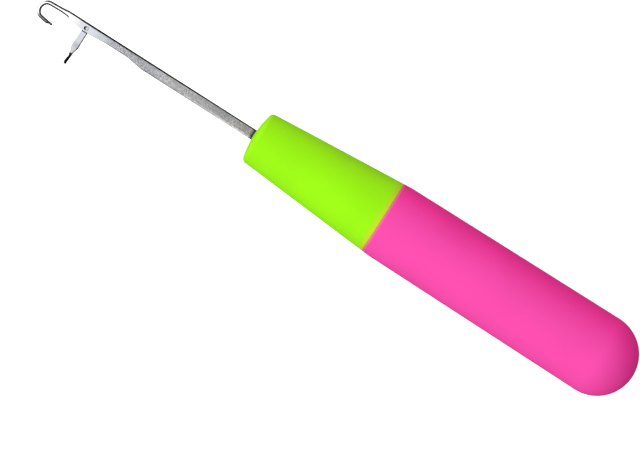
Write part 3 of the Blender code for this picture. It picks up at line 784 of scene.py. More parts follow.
@dataclass
class Handle:
    """The collar, the grip and the core that both sit on."""

    tool: ToolFrame
    length: float = 105.7 * MM
    collar_length: float = 36.0 * MM
    nose_radius: float = 6.57 * MM
    seam_radius: float = 9.29 * MM
    shoulder_setback: float = 2.2 * MM
    butt_radius: float = 9.88 * MM
    dome_radius: float = 23.5 * MM
    nose_corner: float = 1.3 * MM
    nose_slope: float = radians(4.3)
    lift_power: int = 4
    nose_wall: float = 3.0 * MM
    collar_wall: float = 2.0 * MM
    grip_wall: float = 2.8 * MM
    end_wall: float = 8.5 * MM
    seam_gap: float = 0.04 * MM
    seam_break: float = 0.06 * MM
    hole_width: float = 2.7 * MM
    hole_height: float = 1.54 * MM
    hole_corner: float = 0.4 * MM
    hole_segments: int = 6
    dome_steps: int = 14
    corner_steps: int = 10
    cone_steps: int = 12
    body_steps: int = 16
    butt_steps: int = 32
    sides: int = 160
    smooth_angle: float = radians(40.0)

    def outer_radius(self, x: float) -> float:
        """Gives the outside radius: a cone up to the shoulder, then a slow swell to the butt.

        Args:
            x: How far behind the nose.

        Returns:
            The radius there.
        """
        cone = (self.seam_radius - self.nose_radius) / self.collar_length
        shoulder = self.collar_length + self.shoulder_setback
        if x <= shoulder:
            return self.nose_radius + cone * x
        at_shoulder = self.nose_radius + cone * shoulder
        share = (x - shoulder) / (self.length - self.butt_radius - shoulder)
        return at_shoulder + (self.butt_radius - at_shoulder) * share

    def turned(self, name: str, profile: Profile) -> Item:
        """Turns a profile about the tool's axis.

        Args:
            name: The name of the piece.
            profile: Its corners as place along the axis and radius, from the axis to the axis.

        Returns:
            The piece.
        """
        bench = Bench.line(name, [self.tool.at(x, -radius) for x, radius in profile])
        bench.spin(self.tool.nose, (1.0, 0.0, 0.0), self.sides)
        return bench.finish(self.smooth_angle)

    def nose_profile(self) -> Profile:
        """Gives the profile of the nose: a shallow dome, rounded over into the cone.

        Returns:
            The corners from the tip on the axis to the start of the cone.
        """
        half = asin((self.nose_radius - self.nose_corner) / (self.dome_radius - self.nose_corner))
        dome = [
            (self.dome_radius * (1 - cos(angle)), self.dome_radius * sin(angle))
            for angle in span(0.0, half, self.dome_steps)
        ]
        inner = self.dome_radius - self.nose_corner
        centre_x = self.dome_radius - inner * cos(half)
        centre_y = inner * sin(half)
        corner = [
            (centre_x - self.nose_corner * cos(angle), centre_y + self.nose_corner * sin(angle))
            for angle in spread(half, pi / 2 - self.nose_slope, self.corner_steps)
        ]
        return [*dome, *corner]

    def build_collar(self) -> Item:
        """Models the lime moulding with the hole that the stem leaves by.

        Returns:
            The piece.
        """
        rear = self.collar_length - self.seam_gap / 2
        nose = self.nose_profile()
        nose_end, nose_top = nose[-1]
        lift = self.outer_radius(nose_end) - nose_top
        profile = [
            *((x, radius + lift * (radius / nose_top) ** self.lift_power) for x, radius in nose),
            *((x, self.outer_radius(x)) for x in spread(nose_end, rear - self.seam_break, self.cone_steps)),
            (rear, self.outer_radius(rear) - self.seam_break),
            (rear, self.outer_radius(rear) - self.collar_wall),
            (self.nose_wall, self.outer_radius(self.nose_wall) - self.collar_wall),
            (self.nose_wall, 0.0),
        ]
        collar = self.turned("collar_moulding", profile)
        cut_away(collar, self.stem_hole())
        shade_again(collar, self.smooth_angle)
        return collar

    def stem_hole(self) -> Item:
        """Models what the stem's hole is cut with: a bar with round edges.

        Returns:
            The cutter.
        """
        front = self.tool.at(-self.nose_wall)
        bench = Bench.plane("stem_hole", front, (pi / 2, 0.0, pi / 2), (self.hole_width, self.hole_height))
        bpy.ops.mesh.bevel(offset=self.hole_corner, segments=self.hole_segments, affect="VERTICES")
        bench.extrude(Vector((3 * self.nose_wall, 0.0, 0.0)))
        bench.close_up()
        return bench.finish(self.smooth_angle)

    def build_grip(self) -> Item:
        """Models the pink moulding with its round butt.

        Returns:
            The piece.
        """
        front = self.collar_length + self.seam_gap / 2
        shoulder = self.collar_length + self.shoulder_setback
        centre = self.length - self.butt_radius
        floor = self.length - self.end_wall
        butt = spread(0.0, pi / 2, self.butt_steps)
        profile = [
            (floor, 0.0),
            (floor, self.outer_radius(floor) - self.grip_wall),
            (front, self.outer_radius(front) - self.grip_wall),
            (front, self.outer_radius(front) - self.seam_break),
            (front + self.seam_break, self.outer_radius(front + self.seam_break)),
            (shoulder, self.outer_radius(shoulder)),
            *((x, self.outer_radius(x)) for x in spread(shoulder, centre, self.body_steps)),
            *((centre + self.butt_radius * sin(angle), self.butt_radius * cos(angle)) for angle in butt),
        ]
        return self.turned("grip_moulding", profile)

    def build(self, palette: Palette) -> None:
        """Builds and dresses the handle.

        Args:
            palette: The finished materials.
        """
        palette.take_place(self.build_collar(), "collar", "tool", Finish.LIME)
        palette.take_place(self.build_grip(), "handle_grip", "tool", Finish.PINK)
        palette.dress_node("handle_core", Finish.CORE)
        log.info("handle_core: dressed as packed")


@dataclass(frozen=True)
class Section:
    """A cross-section in the tool's frame: its place, the way the steel runs there, its size and its bow.

    The side that the level direction points to has the first corner radius, and the other side the second.
    """

    x: float
    y: float
    heading: float
    width: float
    thickness: float
    corner: float
    far_corner: float
    bow: float = 0.0

    @property
    def side(self) -> Vector:
        """The level direction across the steel."""
        return Vector((-sin(self.heading), cos(self.heading), 0.0))

    def corner_on(self, across: int) -> float:
        """Gives the corner radius on one side."""
        return self.corner if across > 0 else self.far_corner

    def spot(self, across: int, row: float) -> Vector:
        """Gives the middle of a round corner, or the place of one point of an upright side.

        Args:
            across: 1 for the side that the level direction points to, and -1 for the other.
            row: 1 and -1 for the top and bottom corners, and a share between them for a point.

        Returns:
            The place, measured from the middle of the section.
        """
        corner = self.corner_on(across)
        height = row * (self.thickness / 2 - corner)
        reach = self.width / 2 - (corner if abs(row) == 1 else 0.0)
        bowed = self.bow * (height / (self.thickness / 2)) ** 2
        return self.side * (across * reach - bowed) + Vector((0.0, 0.0, height))


class DrawnSteel:
    """Steel that is drawn out from section to section, corner by corner."""

    corner_segments: int = 5
    tall_share: float = 0.9
    fine: float = 0.0001 * MM

    def __init__(self, name: str, tool: ToolFrame, first: Section, rows: int) -> None:
        """Adds the first section as a plane with round corners and points along its upright sides.

        Args:
            name: The name of the piece.
            tool: The tool's frame.
            first: The first section.
            rows: How many points each upright side has between its corners.
        """
        self.tool = tool
        self.section = first
        self.rows = rows
        turn = (pi / 2, 0.0, first.heading + pi / 2)
        self.bench = Bench.plane(name, tool.at(first.x, first.y), turn, (first.width, first.thickness))
        bpy.ops.mesh.bevel(offset=first.corner, segments=self.corner_segments, affect="VERTICES")
        if rows:
            self.add_rows()

    @classmethod
    def through(cls, name: str, tool: ToolFrame, sections: Sequence[Section], rows: int = 0) -> Item:
        """Draws steel through sections.

        Args:
            name: The name of the piece.
            tool: The tool's frame.
            sections: The sections, in order.
            rows: How many points each upright side has between its corners.

        Returns:
            The closed piece.
        """
        steel = cls(name, tool, sections[0], rows)
        for section in sections[1:]:
            steel.draw_to(section)
        steel.bench.close_up()
        return steel.bench.finish()

    def add_rows(self) -> None:
        """Splits the two upright sides of the first section into equal steps."""
        bpy.ops.mesh.select_all(action="DESELECT")
        shape = bmesh.from_edit_mesh(self.bench.item.data)
        tall = (self.section.thickness - 2 * self.section.corner) * self.tall_share
        for edge in shape.edges:
            first, last = (vert.co for vert in edge.verts)
            edge.select = abs(first.z - last.z) > tall
        bmesh.update_edit_mesh(self.bench.item.data)
        bpy.ops.mesh.subdivide(number_cuts=self.rows)
        bpy.ops.mesh.select_all(action="SELECT")

    def draw_to(self, target: Section) -> None:
        """Extrudes the end of the steel to the next section and shapes it there.

        Args:
            target: The next section.
        """
        bench = self.bench
        here = self.tool.at(self.section.x, self.section.y)
        bench.extrude(Vector((0.0, 0.0, 0.0)))
        ring = bench.selected()
        level = replace(target, heading=self.section.heading)
        for (across, row), numbers in self.groups(ring, here).items():
            growth = target.corner_on(across) / self.section.corner_on(across)
            spot = self.section.spot(across, row)
            shift = level.spot(across, row) - spot
            grows = abs(row) == 1 and abs(growth - 1.0) > self.fine
            if grows or shift.length > self.fine * MM:
                bench.select(numbers)
            if grows:
                bench.resize(growth, here + spot)
            if shift.length > self.fine * MM:
                bench.move(shift)
        bench.select(ring)
        turn = target.heading - self.section.heading
        if abs(turn) > self.fine * MM:
            bench.turn(turn, here)
        bench.move(self.tool.at(target.x, target.y) - here)
        self.section = target

    def groups(self, ring: Sequence[int], centre: Vector) -> dict[tuple[int, float], list[int]]:
        """Sorts the points of a section by the corner or the row that they belong to.

        Args:
            ring: The numbers of the section's points.
            centre: The middle of the section.

        Returns:
            The numbers of the points under the sign of their side and their row.
        """
        shape = bmesh.from_edit_mesh(self.bench.item.data)
        shape.verts.ensure_lookup_table()
        section = self.section
        steps = self.rows + 1
        groups: dict[tuple[int, float], list[int]] = {}
        for number in ring:
            offset = shape.verts[number].co - centre
            bowed = section.bow * (offset.z / (section.thickness / 2)) ** 2
            across = 1 if offset.dot(section.side) + bowed > 0 else -1
            straight = section.thickness / 2 - section.corner_on(across)
            place = round((offset.z / straight + 1) / 2 * steps)
            row = min(max(place / steps * 2 - 1, -1.0), 1.0)
            groups.setdefault((across, row), []).append(number)
        return groups


@dataclass
class Latch:
    """The latch at its rest: a flat with an eye, a waist and a cupped spoon, square to the needle."""

    tool: ToolFrame
    reach: float = 9.74 * MM
    eye_width: float = 1.56 * MM
    belly_width: float = 1.78 * MM
    belly_back: float = 0.85 * MM
    thickness: float = 0.42 * MM
    eye_radius: float = 0.4 * MM
    spoon_length: float = 3.085 * MM
    spoon_width: float = 1.6 * MM
    spoon_back: float = 0.36 * MM
    sheet: float = 0.41 * MM
    bowl_depth: float = 0.52 * MM
    lip_rise: float = 0.06 * MM
    lip_angle: float = radians(80.0)
    lip_sheet_share: float = 1.5
    widest_share: float = 0.58
    neck_width: float = 0.96 * MM
    neck_back: float = 0.46 * MM
    waist_length: float = 1.75 * MM
    edge_radius: float = 0.2 * MM
    edge_share: float = 0.45
    steps: int = 12
    rows: int = 7
    rest_angle: float = radians(90.0)

    @property
    def spoon_start(self) -> float:
        """Where the spoon starts, measured from the pivot."""
        return self.reach - self.spoon_length

    @property
    def waist_start(self) -> float:
        """Where the flat starts to narrow, measured from the pivot."""
        return self.spoon_start - self.waist_length

    def section(self, along: float, back: float, sheet: float, height: float, bow: float = 0.0) -> Section:
        """Gives a section of the latch at rest.

        Args:
            along: How far from the pivot, away from the needle.
            back: How far the back of the steel stands from the pivot's line, towards the handle.
            sheet: How wide the steel is seen from above.
            height: How tall it is.
            bow: How deep its middle lies behind its rims.

        Returns:
            The section.
        """
        corner = min(self.edge_radius, self.edge_share * sheet, self.edge_share * height)
        x = -self.tool.stem_length + back - sheet / 2
        return Section(x, self.tool.pivot.y - along, -pi / 2, sheet, height, corner, corner, bow)

    def waist_back(self, share: float) -> float:
        """Gives how far the back of the waist stands from the pivot's line."""
        return eased(self.belly_back, self.neck_back, share)

    def flat_sections(self) -> list[Section]:
        """Makes the round eye, the flat and the waist.

        Returns:
            Their sections.
        """
        radius = self.eye_width / 2
        eye = [
            self.section(-radius * cos(angle), radius * sin(angle), 2 * radius * sin(angle), self.thickness)
            for angle in spread(0.0, pi / 2, self.steps)
        ]
        waist = [
            self.section(
                self.waist_start + self.waist_length * share,
                self.waist_back(share),
                eased(self.belly_width, self.neck_width, share),
                self.thickness,
            )
            for share in span(0.0, 1.0, self.steps)
        ]
        return [*eye, *waist]

    def spoon_sections(self) -> list[Section]:
        """Makes the spoon.

        Returns:
            Its sections, from where the neck spreads to the round lip.
        """
        spreading = [
            self.spoon_section(self.widest_share * share, eased(0.0, 1.0, share))
            for share in spread(0.0, 1.0, self.steps)
        ]
        rest = 1 - self.widest_share
        closing = [
            self.spoon_section(
                self.widest_share + rest * sin(angle) / sin(self.lip_angle),
                (self.spoon_width * cos(angle) - self.thickness) / (self.spoon_width - self.thickness),
            )
            for angle in spread(0.0, self.lip_angle, self.steps)
        ]
        return [*spreading, *closing]

    def spoon_section(self, share: float, spreading: float) -> Section:
        """Gives a section of the spoon.

        Args:
            share: Its share of the spoon's length.
            spreading: How far it has spread from the flat, 1 at the widest.

        Returns:
            The section.
        """
        thinning = eased(0.0, 1.0, 2 * share)
        lip = eased(0.0, 1.0, 2 * share - 1)
        sheet = self.neck_width + (self.sheet - self.neck_width) * thinning
        height = self.thickness + (self.spoon_width - self.thickness) * spreading
        return self.section(
            along=self.spoon_start + self.spoon_length * share,
            back=self.neck_back + (self.spoon_back - self.neck_back) * thinning - self.lip_rise * lip,
            sheet=sheet * (1 + (self.lip_sheet_share - 1) * lip),
            height=height,
            bow=self.bowl_depth * thinning * (height / self.spoon_width) ** 2,
        )

    def build(self, palette: Palette) -> None:
        """Models the latch, bores its eye and dresses it.

        Args:
            palette: The finished materials.
        """
        sections = [*self.flat_sections(), *self.spoon_sections()]
        latch = DrawnSteel.through("latch_steel", self.tool, sections, self.rows)
        bore = both_ways([(self.thickness, self.eye_radius), (self.thickness, 0.0)])
        cut_away(latch, turned_upright("latch_eye", self.tool.pivot, bore))
        shade_again(latch)
        palette.take_place(latch, "latch", "latch", Finish.LATCH)


@dataclass
class Rivet:
    """The latch's rivet, peened into a countersink on each cheek."""

    tool: ToolFrame
    blade_thickness: float
    shank_radius: float = 0.35 * MM
    head_radius: float = 0.55 * MM
    countersink: float = 0.16 * MM
    crown: float = 0.03 * MM
    seat_gap: float = 0.008 * MM
    mark_offset: float = 0.22 * MM
    mark_radius: float = 0.45 * MM
    mark_floor: float = 0.15 * MM
    mark_depth: float = 0.14 * MM
    crown_steps: int = 8
    overrun: float = 0.5 * MM

    @property
    def head_z(self) -> float:
        """How far from the middle the faces of the cheeks lie."""
        return self.blade_thickness / 2

    def half_profile(self) -> Profile:
        """Gives half the rivet, from under a head to the middle of its crown.

        Returns:
            Heights above the middle, each with the radius there.
        """
        round_start = self.head_radius - self.crown
        crown = [
            (self.head_z + self.crown * sin(angle), round_start + self.crown * cos(angle))
            for angle in spread(0.0, pi / 2, self.crown_steps)
        ]
        shank = (self.head_z - self.countersink, self.shank_radius)
        return [shank, (self.head_z, self.head_radius), *crown, (self.head_z + self.crown, 0.0)]

    def seat_cutter(self) -> Item:
        """Models what the cheeks are cut with for the rivet: its bore and its countersink.

        Returns:
            The cutter.
        """
        half = [
            (self.head_z - self.countersink, self.shank_radius + self.seat_gap),
            (self.head_z, self.head_radius + self.seat_gap),
            (self.head_z + self.overrun, self.head_radius + self.seat_gap),
            (self.head_z + self.overrun, 0.0),
        ]
        return turned_upright("rivet_seat", self.tool.pivot, both_ways(half))

    def press_marks(self, target: Item) -> None:
        """Cuts the round mark of the riveting punch into both faces of a piece, ahead of the middle of the rivet.

        Args:
            target: The piece.
        """
        centre = self.tool.pivot - Vector((self.mark_offset, 0.0, 0.0))
        profile = [
            (self.head_z - self.mark_depth, 0.0),
            (self.head_z - self.mark_depth, self.mark_floor),
            (self.head_z, self.mark_radius),
            (self.head_z + self.overrun, self.mark_radius),
            (self.head_z + self.overrun, 0.0),
        ]
        for face in (1, -1):
            marked = [(face * height, radius) for height, radius in profile]
            cut_away(target, turned_upright("punch_mark", centre, marked))

    def build(self, palette: Palette) -> None:
        """Models the rivet and dresses it.

        Args:
            palette: The finished materials.
        """
        rivet = turned_upright("rivet_steel", self.tool.pivot, both_ways(self.half_profile()))
        self.press_marks(rivet)
        shade_again(rivet)
        palette.take_place(rivet, "latch_rivet", "tool", Finish.RIVET)


@dataclass
class Needle:
    """The needle, from the tang in the handle to the tip of the hook."""

    tool: ToolFrame
    latch: Latch
    stem_width: float = 2.58 * MM
    back_y: float = 1.31 * MM
    stem_thickness: float = 1.3 * MM
    stem_edge: float = 0.18 * MM
    stem_back_edge: float = 0.5 * MM
    blade_edge: float = 0.06 * MM
    edge_fade: float = 2.2 * MM
    root_edge: float = 0.05 * MM
    root_back_edge: float = 0.36 * MM
    stem_root: float = 1.0 * MM
    tang_width: float = 2.46 * MM
    tang_edge: float = 0.35 * MM
    tang_depth: float = 38.0 * MM
    tang_thickness: float = 1.2 * MM
    tang_root: float = 3.0 * MM
    foot_width: float = 4.2 * MM
    foot_length: float = 3.5 * MM
    foot_slope: float = 0.6 * MM
    throat_length: float = 12.55 * MM
    wire: float = 0.92 * MM
    bend_radius: float = 1.9 * MM
    bend_swell: float = 0.14 * MM
    neck_drop: float = 0.33 * MM
    neck_swell: float = 0.19 * MM
    neck_fade: float = 0.35
    neck_lean: float = radians(2.3)
    tip_lean: float = radians(8.6)
    tip_length: float = 3.18 * MM
    tip_straight: float = 0.8 * MM
    tip_taper: float = 0.6 * MM
    tip_width: float = 0.58 * MM
    blade_nose: float = 5.4 * MM
    nose_drop: float = 0.2 * MM
    nose_round: tuple[float, float] = (0.78, 0.9)
    blade_cover: float = 0.83 * MM
    cheek_wall: float = 0.475 * MM
    cheek_front: float = 1.1 * MM
    cheek_rear: float = 0.5 * MM
    cheek_flat: float = 1.5 * MM
    cheek_fade: float = 5.0 * MM
    shoulder_length: float = 1.9 * MM
    recess_depth: float = 0.66 * MM
    recess_tail: float = 1.365 * MM
    ramp_length: float = 5.2 * MM
    ramp_round: float = 0.14
    slot_side: float = 0.04 * MM
    slot_edge: float = 0.06 * MM
    slot_tail: float = 0.15
    round_share: float = 0.995
    ease_steps: int = 12
    bend_steps: int = 40
    tip_steps: int = 8
    sweep_steps: int = 20
    overrun: float = 0.5 * MM

    @property
    def pivot(self) -> tuple[float, float]:
        """The latch's pivot in the tool's frame."""
        return -self.tool.stem_length, self.tool.pivot.y

    @property
    def slot_thickness(self) -> float:
        """The width of the latch's slot."""
        return self.latch.thickness + 2 * self.slot_side

    @property
    def blade_thickness(self) -> float:
        """The thickness over both cheeks."""
        return self.slot_thickness + 2 * self.cheek_wall

    @property
    def neck_y(self) -> float:
        """The middle of the wire where the neck starts."""
        return self.back_y - self.neck_drop - self.wire / 2

    @property
    def recess_end(self) -> float:
        """Where the recess for the open latch ends, measured back from the pivot."""
        return self.latch.reach + self.recess_tail

    def edge_y(self, ahead: float) -> float:
        """Gives the line of the needle's hook side.

        Args:
            ahead: How far ahead of the pivot, negative towards the handle.

        Returns:
            The y of the edge in the tool's frame.
        """
        front_y = self.back_y - self.stem_width
        recess_y = front_y + self.recess_depth
        cheek_y = self.pivot[1] - self.blade_cover
        if ahead <= -self.recess_end:
            share = (-ahead - self.recess_end) / self.ramp_length
            return recess_y + (front_y - recess_y) * ramped(share, self.ramp_round)
        if ahead <= self.cheek_front:
            share = (-ahead - self.cheek_rear) / (self.latch.spoon_start - self.cheek_rear)
            return eased(cheek_y, recess_y, share)
        share = (ahead - self.cheek_front) / (self.blade_nose - self.cheek_front)
        return cheek_y + (self.neck_y - self.wire / 2 - self.nose_drop - cheek_y) * share

    def blade_section(self, ahead: float) -> Section:
        """Gives a section of the straight part of the needle.

        Args:
            ahead: How far ahead of the pivot, negative towards the handle.

        Returns:
            The section, its back on the line of the stem's back.
        """
        edge = self.edge_y(ahead)
        fade = (self.cheek_fade + ahead) / (self.cheek_fade - self.cheek_rear)
        swell = eased(self.stem_thickness, self.blade_thickness, fade)
        nose_share = (ahead - self.cheek_flat) / (self.blade_nose - self.cheek_flat)
        sharpening = (ahead + self.latch.spoon_start) / self.edge_fade
        rounding = (nose_share - self.nose_round[0]) / (self.nose_round[1] - self.nose_round[0])
        wire_corner = self.round_share * self.wire / 2
        return Section(
            x=self.pivot[0] - ahead,
            y=(self.back_y + edge) / 2,
            heading=pi,
            width=self.back_y - edge,
            thickness=eased(swell, self.wire, nose_share),
            corner=eased(eased(self.stem_edge, self.blade_edge, sharpening), wire_corner, rounding),
            far_corner=eased(self.stem_back_edge, wire_corner, nose_share),
        )

    def tang_sections(self) -> list[Section]:
        """Makes the tang.

        Returns:
            Its sections, from the end of its foot to the root of the stem.
        """
        foot_front = self.tang_depth - self.foot_length
        places = [
            (self.tang_depth, self.foot_width),
            (foot_front, self.foot_width),
            (foot_front - self.foot_slope, self.tang_width),
            (self.tang_root, self.tang_width),
        ]
        root = Section(
            x=-self.stem_root,
            y=self.back_y - self.stem_width / 2,
            heading=pi,
            width=self.stem_width,
            thickness=self.stem_thickness,
            corner=self.root_edge,
            far_corner=self.root_back_edge,
        )
        tang = replace(root, y=0.0, thickness=self.tang_thickness, corner=self.tang_edge, far_corner=self.tang_edge)
        return [*(replace(tang, x=x, width=width) for x, width in places), root]

    def blade_sections(self) -> list[Section]:
        """Makes the stem, the recess, the cheeks and the taper to the neck.

        Returns:
            Their sections.
        """
        runs = [
            (-self.recess_end - self.ramp_length, -self.recess_end),
            (-self.latch.spoon_start, -self.cheek_rear),
            (self.cheek_front, self.blade_nose),
        ]
        return [self.blade_section(ahead) for run in runs for ahead in span(*run, self.ease_steps)]

    def wire_section(self, x: float, y: float, heading: float, size: float) -> Section:
        """Gives a section of the round wire."""
        corner = self.round_share * size / 2
        return Section(x, y, heading, size, size, corner, corner)

    def swelled(self, wire: Section, inner: float, outer: float) -> Section:
        """Widens a section of the wire.

        Args:
            wire: The section.
            inner: How much it gains on the inner side of the hook.
            outer: How much it gains on the outer side.

        Returns:
            The wider section.
        """
        shift = (outer - inner) / 2
        x = wire.x + shift * sin(wire.heading)
        y = wire.y - shift * cos(wire.heading)
        return replace(wire, x=x, y=y, width=wire.width + inner + outer)

    def hook_sections(self) -> list[Section]:
        """Makes the neck, the bend and the tip.

        Returns:
            Their sections.
        """
        bend_x = self.pivot[0] - self.throat_length + self.wire / 2 + self.bend_radius
        start_x = bend_x - self.bend_radius * sin(self.neck_lean)
        start_y = self.neck_y - (self.pivot[0] - self.blade_nose - start_x) * tan(self.neck_lean)
        bend_y = start_y - self.bend_radius * cos(self.neck_lean)
        start = pi + self.neck_lean
        end = 2 * pi - self.tip_lean
        shoulder_x = self.pivot[0] - self.blade_nose - self.shoulder_length
        shoulder_y = self.neck_y - self.shoulder_length * tan(self.neck_lean)
        sections = [self.swelled(self.wire_section(shoulder_x, shoulder_y, start, self.wire), 0.0, self.neck_swell)]
        for heading in span(start, end, self.bend_steps):
            share = (heading - start) / (end - start)
            x = bend_x + self.bend_radius * sin(heading)
            y = bend_y - self.bend_radius * cos(heading)
            outer = eased(self.neck_swell, 0.0, share / self.neck_fade)
            wire = self.wire_section(x, y, heading, self.wire)
            sections.append(self.swelled(wire, self.bend_swell * sin(pi * share) ** 2, outer))
        return [*sections, *self.tip_sections(sections[-1])]

    def tip_sections(self, root: Section) -> list[Section]:
        """Makes the arm of the hook and its tip, which steps down on its outer side and is straight from there.

        Args:
            root: The last section of the bend.

        Returns:
            The sections up to the rounded end.
        """
        along = Vector((cos(self.tip_lean), -sin(self.tip_lean)))
        inward = Vector((sin(self.tip_lean), cos(self.tip_lean)))
        taper_start = self.tip_length - self.tip_straight - self.tip_taper
        places = [
            (taper_start + self.tip_taper * share, eased(self.wire, self.tip_width, share))
            for share in span(0.0, 1.0, self.ease_steps)
        ]
        rounding = [
            (self.tip_length - self.tip_width / 2 * (1 - sin(angle)), self.tip_width * cos(angle))
            for angle in spread(0.0, pi / 2, self.tip_steps)[:-1]
        ]
        sections = []
        for distance, size in [*places, *rounding]:
            offset = (self.wire - max(size, self.tip_width)) / 2
            place = Vector((root.x, root.y)) + along * distance + inward * offset
            sections.append(self.wire_section(place.x, place.y, root.heading, size))
        return sections

    def slot_cutter(self) -> Item:
        """Models what the latch's slot is cut with: the room that the flat sweeps between its two stops.

        Returns:
            The cutter.
        """
        latch = self.latch
        x, y = self.pivot
        reach = latch.eye_width / 2 + self.slot_edge
        low_y = y - self.blade_cover - self.overrun
        shut = latch.rest_angle + self.tool.turns[0]
        folded = latch.rest_angle - self.tool.turns[1]
        taper = asin((latch.belly_width - latch.belly_back - latch.eye_width / 2) / latch.waist_start)
        angles = span(pi / 2 + shut, pi / 2 - folded, self.sweep_steps)
        sweep = [(x + reach * cos(angle), y + reach * sin(angle)) for angle in angles]
        front = (sweep[0][0] - (sweep[0][1] - low_y) / tan(shut - taper), low_y)
        along = Vector((cos(folded), -sin(folded)))
        side = Vector((sin(folded), cos(folded)))
        waist = []
        for share in [*span(0.0, 1.0, self.ease_steps), 1 + self.slot_tail]:
            distance = latch.waist_start + latch.waist_length * share
            place = Vector((x, y)) + along * distance + side * (latch.waist_back(share) + self.slot_edge)
            waist.append((place.x, place.y))
        outline = [front, *sweep, *waist, (waist[-1][0], low_y), front]
        bench = Bench.line("latch_slot", [self.tool.at(*place) for place in outline])
        bench.raise_outline(self.slot_thickness)
        return bench.finish()

    def build(self, palette: Palette, rivet: Rivet) -> None:
        """Models the needle, cuts the slot and the rivet's seat, and dresses it.

        Args:
            palette: The finished materials.
            rivet: The rivet, which says what its seat is cut with.
        """
        sections = [*self.tang_sections(), *self.blade_sections(), *self.hook_sections()]
        needle = DrawnSteel.through("needle_steel", self.tool, sections)
        cut_away(needle, self.slot_cutter())
        cut_away(needle, rivet.seat_cutter())
        rivet.press_marks(needle)
        shade_again(needle)
        palette.take_place(needle, "needle", "tool", Finish.NEEDLE)


@dataclass
class PhotoCamera:
    """The camera of the photograph: straight above, through a long lens, turned about its own line of sight."""

    tool: ToolFrame
    frame_width: int = 640
    frame_height: int = 464
    nose_x_px: float = 253.79
    nose_y_px: float = 134.95
    axis_turn: float = radians(32.55)
    metres_per_px: float = 0.2353 * MM
    lens: float = 200.0
    sensor: float = 36.0
    far_clip: float = 20.0

    def build(self) -> None:
        """Places the camera so that the nose and the axis lie where the photograph has them."""
        right = self.frame_width / 2 - self.nose_x_px
        down = self.frame_height / 2 - self.nose_y_px
        along = right * cos(self.axis_turn) + down * sin(self.axis_turn)
        across = down * cos(self.axis_turn) - right * sin(self.axis_turn)
        distance = self.metres_per_px * self.frame_width * self.lens / self.sensor
        place = self.tool.nose + Vector((along, -across, 0.0)) * self.metres_per_px
        data = bpy.data.cameras.new("photo_camera")
        data.lens = self.lens
        data.sensor_width = self.sensor
        data.clip_end = self.far_clip
        camera = bpy.data.objects.new("photo_camera", data)
        camera.location = place + Vector((0.0, 0.0, distance))
        camera.rotation_euler = (0.0, 0.0, self.axis_turn)
        bpy.context.scene.collection.objects.link(camera)
        bpy.context.scene.camera = camera


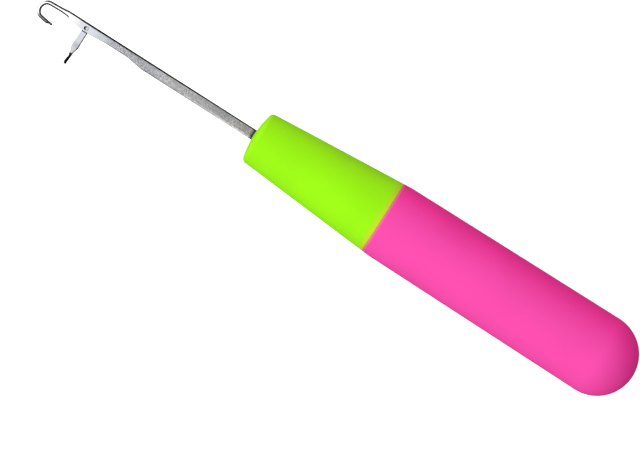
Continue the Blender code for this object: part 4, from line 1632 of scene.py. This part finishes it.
@dataclass
class Studio:
    """A pale floor under a soft dome, with one large soft light over the hook's open side.

    Steel sees a dome that is dark towards the back of the needle and the handle, as behind black card, and the
    rest of the tool sees one that fades only slightly to that side.
    """

    floor_size: float = 8.0
    floor_roughness: float = 0.9
    floor_seen: float = 0.9
    floor_glow: float = 0.68
    floor_bounce: float = 0.4
    floor_in_steel: float = 0.02
    floor_pale_in_steel: float = 0.3
    floor_pale_reach: tuple[float, float] = (-0.11, -0.094)
    dome_strength: float = 0.86
    dome_fade: float = 0.65
    dome_side: Direction = (-1.2, -0.3, 0.0)
    card_end: Direction = (-1.0, 0.0, 0.0)
    card_end_reach: tuple[float, float] = (-0.17, -0.03)
    card_middle: float = -0.125
    card_sides: Direction = (-0.65, -1.0, 0.0)
    card_sides_reach: tuple[float, float] = (-0.26, -0.17)
    card_dark: float = 0.03
    card_bright: float = 1.3
    key_power: float = 10.4
    key_width: float = 1.2
    key_distance: float = 1.4

    def build(self) -> None:
        """Builds the floor, the dome and the key light."""
        self.build_floor()
        self.build_dome()
        self.build_key()
        bpy.context.scene.view_settings.view_transform = "Standard"
        bpy.context.scene.view_settings.look = "None"

    def build_floor(self) -> None:
        """Lays a wide pale floor under the tool."""
        Bench.clear()
        bpy.ops.mesh.primitive_plane_add(size=self.floor_size)
        floor = bpy.context.object
        floor.name = "floor"
        floor.data.materials.append(self.floor_material())

    def floor_material(self) -> bpy.types.Material:
        """Makes the floor: white to the eye, a softer grey to the light that it throws back.

        Returns:
            The material.
        """
        recipe = Recipe("pale_floor")
        sight = recipe.add("LightPath").outputs
        seen = sight["Is Camera Ray"]
        recipe.feed(recipe.shader["Base Color"], recipe.ramp(seen, self.floor_bounce, self.floor_seen))
        recipe.feed(recipe.shader["Roughness"], self.floor_roughness)
        recipe.feed(recipe.shader["Specular IOR Level"], 0.0)
        recipe.feed(recipe.shader["Emission Color"], WHITE)
        recipe.feed(recipe.shader["Emission Strength"], recipe.maths("MULTIPLY", seen, self.floor_glow))
        fade = recipe.ramp(recipe.along["X"], self.floor_pale_in_steel, self.floor_in_steel, *self.floor_pale_reach)
        mirrored = recipe.add("Emission", {"Strength": fade}).outputs["Emission"]
        sides = {0: sight["Is Glossy Ray"], 1: recipe.principled.outputs["BSDF"], 2: mirrored}
        result = recipe.add("MixShader", sides).outputs["Shader"]
        recipe.feed(recipe.tree.nodes["Material Output"].inputs["Surface"], result)
        return recipe.material

    def build_dome(self) -> None:
        """Lights the world: white to the eye, a faded dome to the mouldings and a dome with black card to steel.

        The dome is folded over along the middle of the card, so that both sides of the card are alike.
        """
        world = bpy.data.worlds.new("soft_dome")
        world.use_nodes = True
        wiring = Wiring(world.node_tree)
        place = wiring.add("TexCoord").outputs["Generated"]
        sight = wiring.add("LightPath").outputs
        soft = wiring.ramp(
            wiring.lean(place, self.dome_side),
            self.dome_strength * (1 - self.dome_fade),
            self.dome_strength * (1 + self.dome_fade),
            -1.0,
            1.0,
            Climb.EVEN,
        )
        apart = wiring.add("SeparateXYZ", {"Vector": place}).outputs
        beside = wiring.maths("ABSOLUTE", wiring.maths("SUBTRACT", apart["Y"], self.card_middle))
        folded = wiring.add("CombineXYZ", {"X": apart["X"], "Y": beside, "Z": apart["Z"]}).outputs["Vector"]
        sides = wiring.lean(folded, self.card_sides)
        sides = wiring.ramp(sides, self.card_dark, self.card_bright, *self.card_sides_reach)
        card = wiring.ramp(wiring.lean(folded, self.card_end), self.card_dark, sides, *self.card_end_reach)
        mirrored = wiring.mixed(sight["Is Glossy Ray"], soft, card)
        background = world.node_tree.nodes["Background"].inputs
        wiring.feed(background["Color"], WHITE)
        wiring.feed(background["Strength"], wiring.mixed(sight["Is Camera Ray"], mirrored, 1.0))
        world.cycles.sampling_method = "NONE"
        bpy.context.scene.world = world

    def build_key(self) -> None:
        """Hangs one large soft light over the hook's open side."""
        data = bpy.data.lights.new("key", "AREA")
        data.shape = "DISK"
        data.size = self.key_width
        data.energy = self.key_power
        key = bpy.data.objects.new("key", data)
        key.rotation_euler = KEY_SIDE.to_track_quat("Z", "Y").to_euler()
        key.location = KEY_SIDE * self.key_distance
        key.visible_camera = False
        key.visible_glossy = False
        bpy.context.scene.collection.objects.link(key)


def main() -> None:
    """Builds the tool's looks, the studio and the camera, in order."""
    logging.basicConfig(level=logging.INFO, format="%(name)s: %(message)s")
    tool = ToolFrame.from_model()
    handle = Handle(tool)
    palette = Palette(tool, tool.at(handle.collar_length).x)
    latch = Latch(tool)
    needle = Needle(tool, latch)
    rivet = Rivet(tool, needle.blade_thickness)
    handle.build(palette)
    needle.build(palette, rivet)
    latch.build(palette)
    rivet.build(palette)
    Studio().build()
    PhotoCamera(tool).build()


if __name__ == "__main__":
    main()
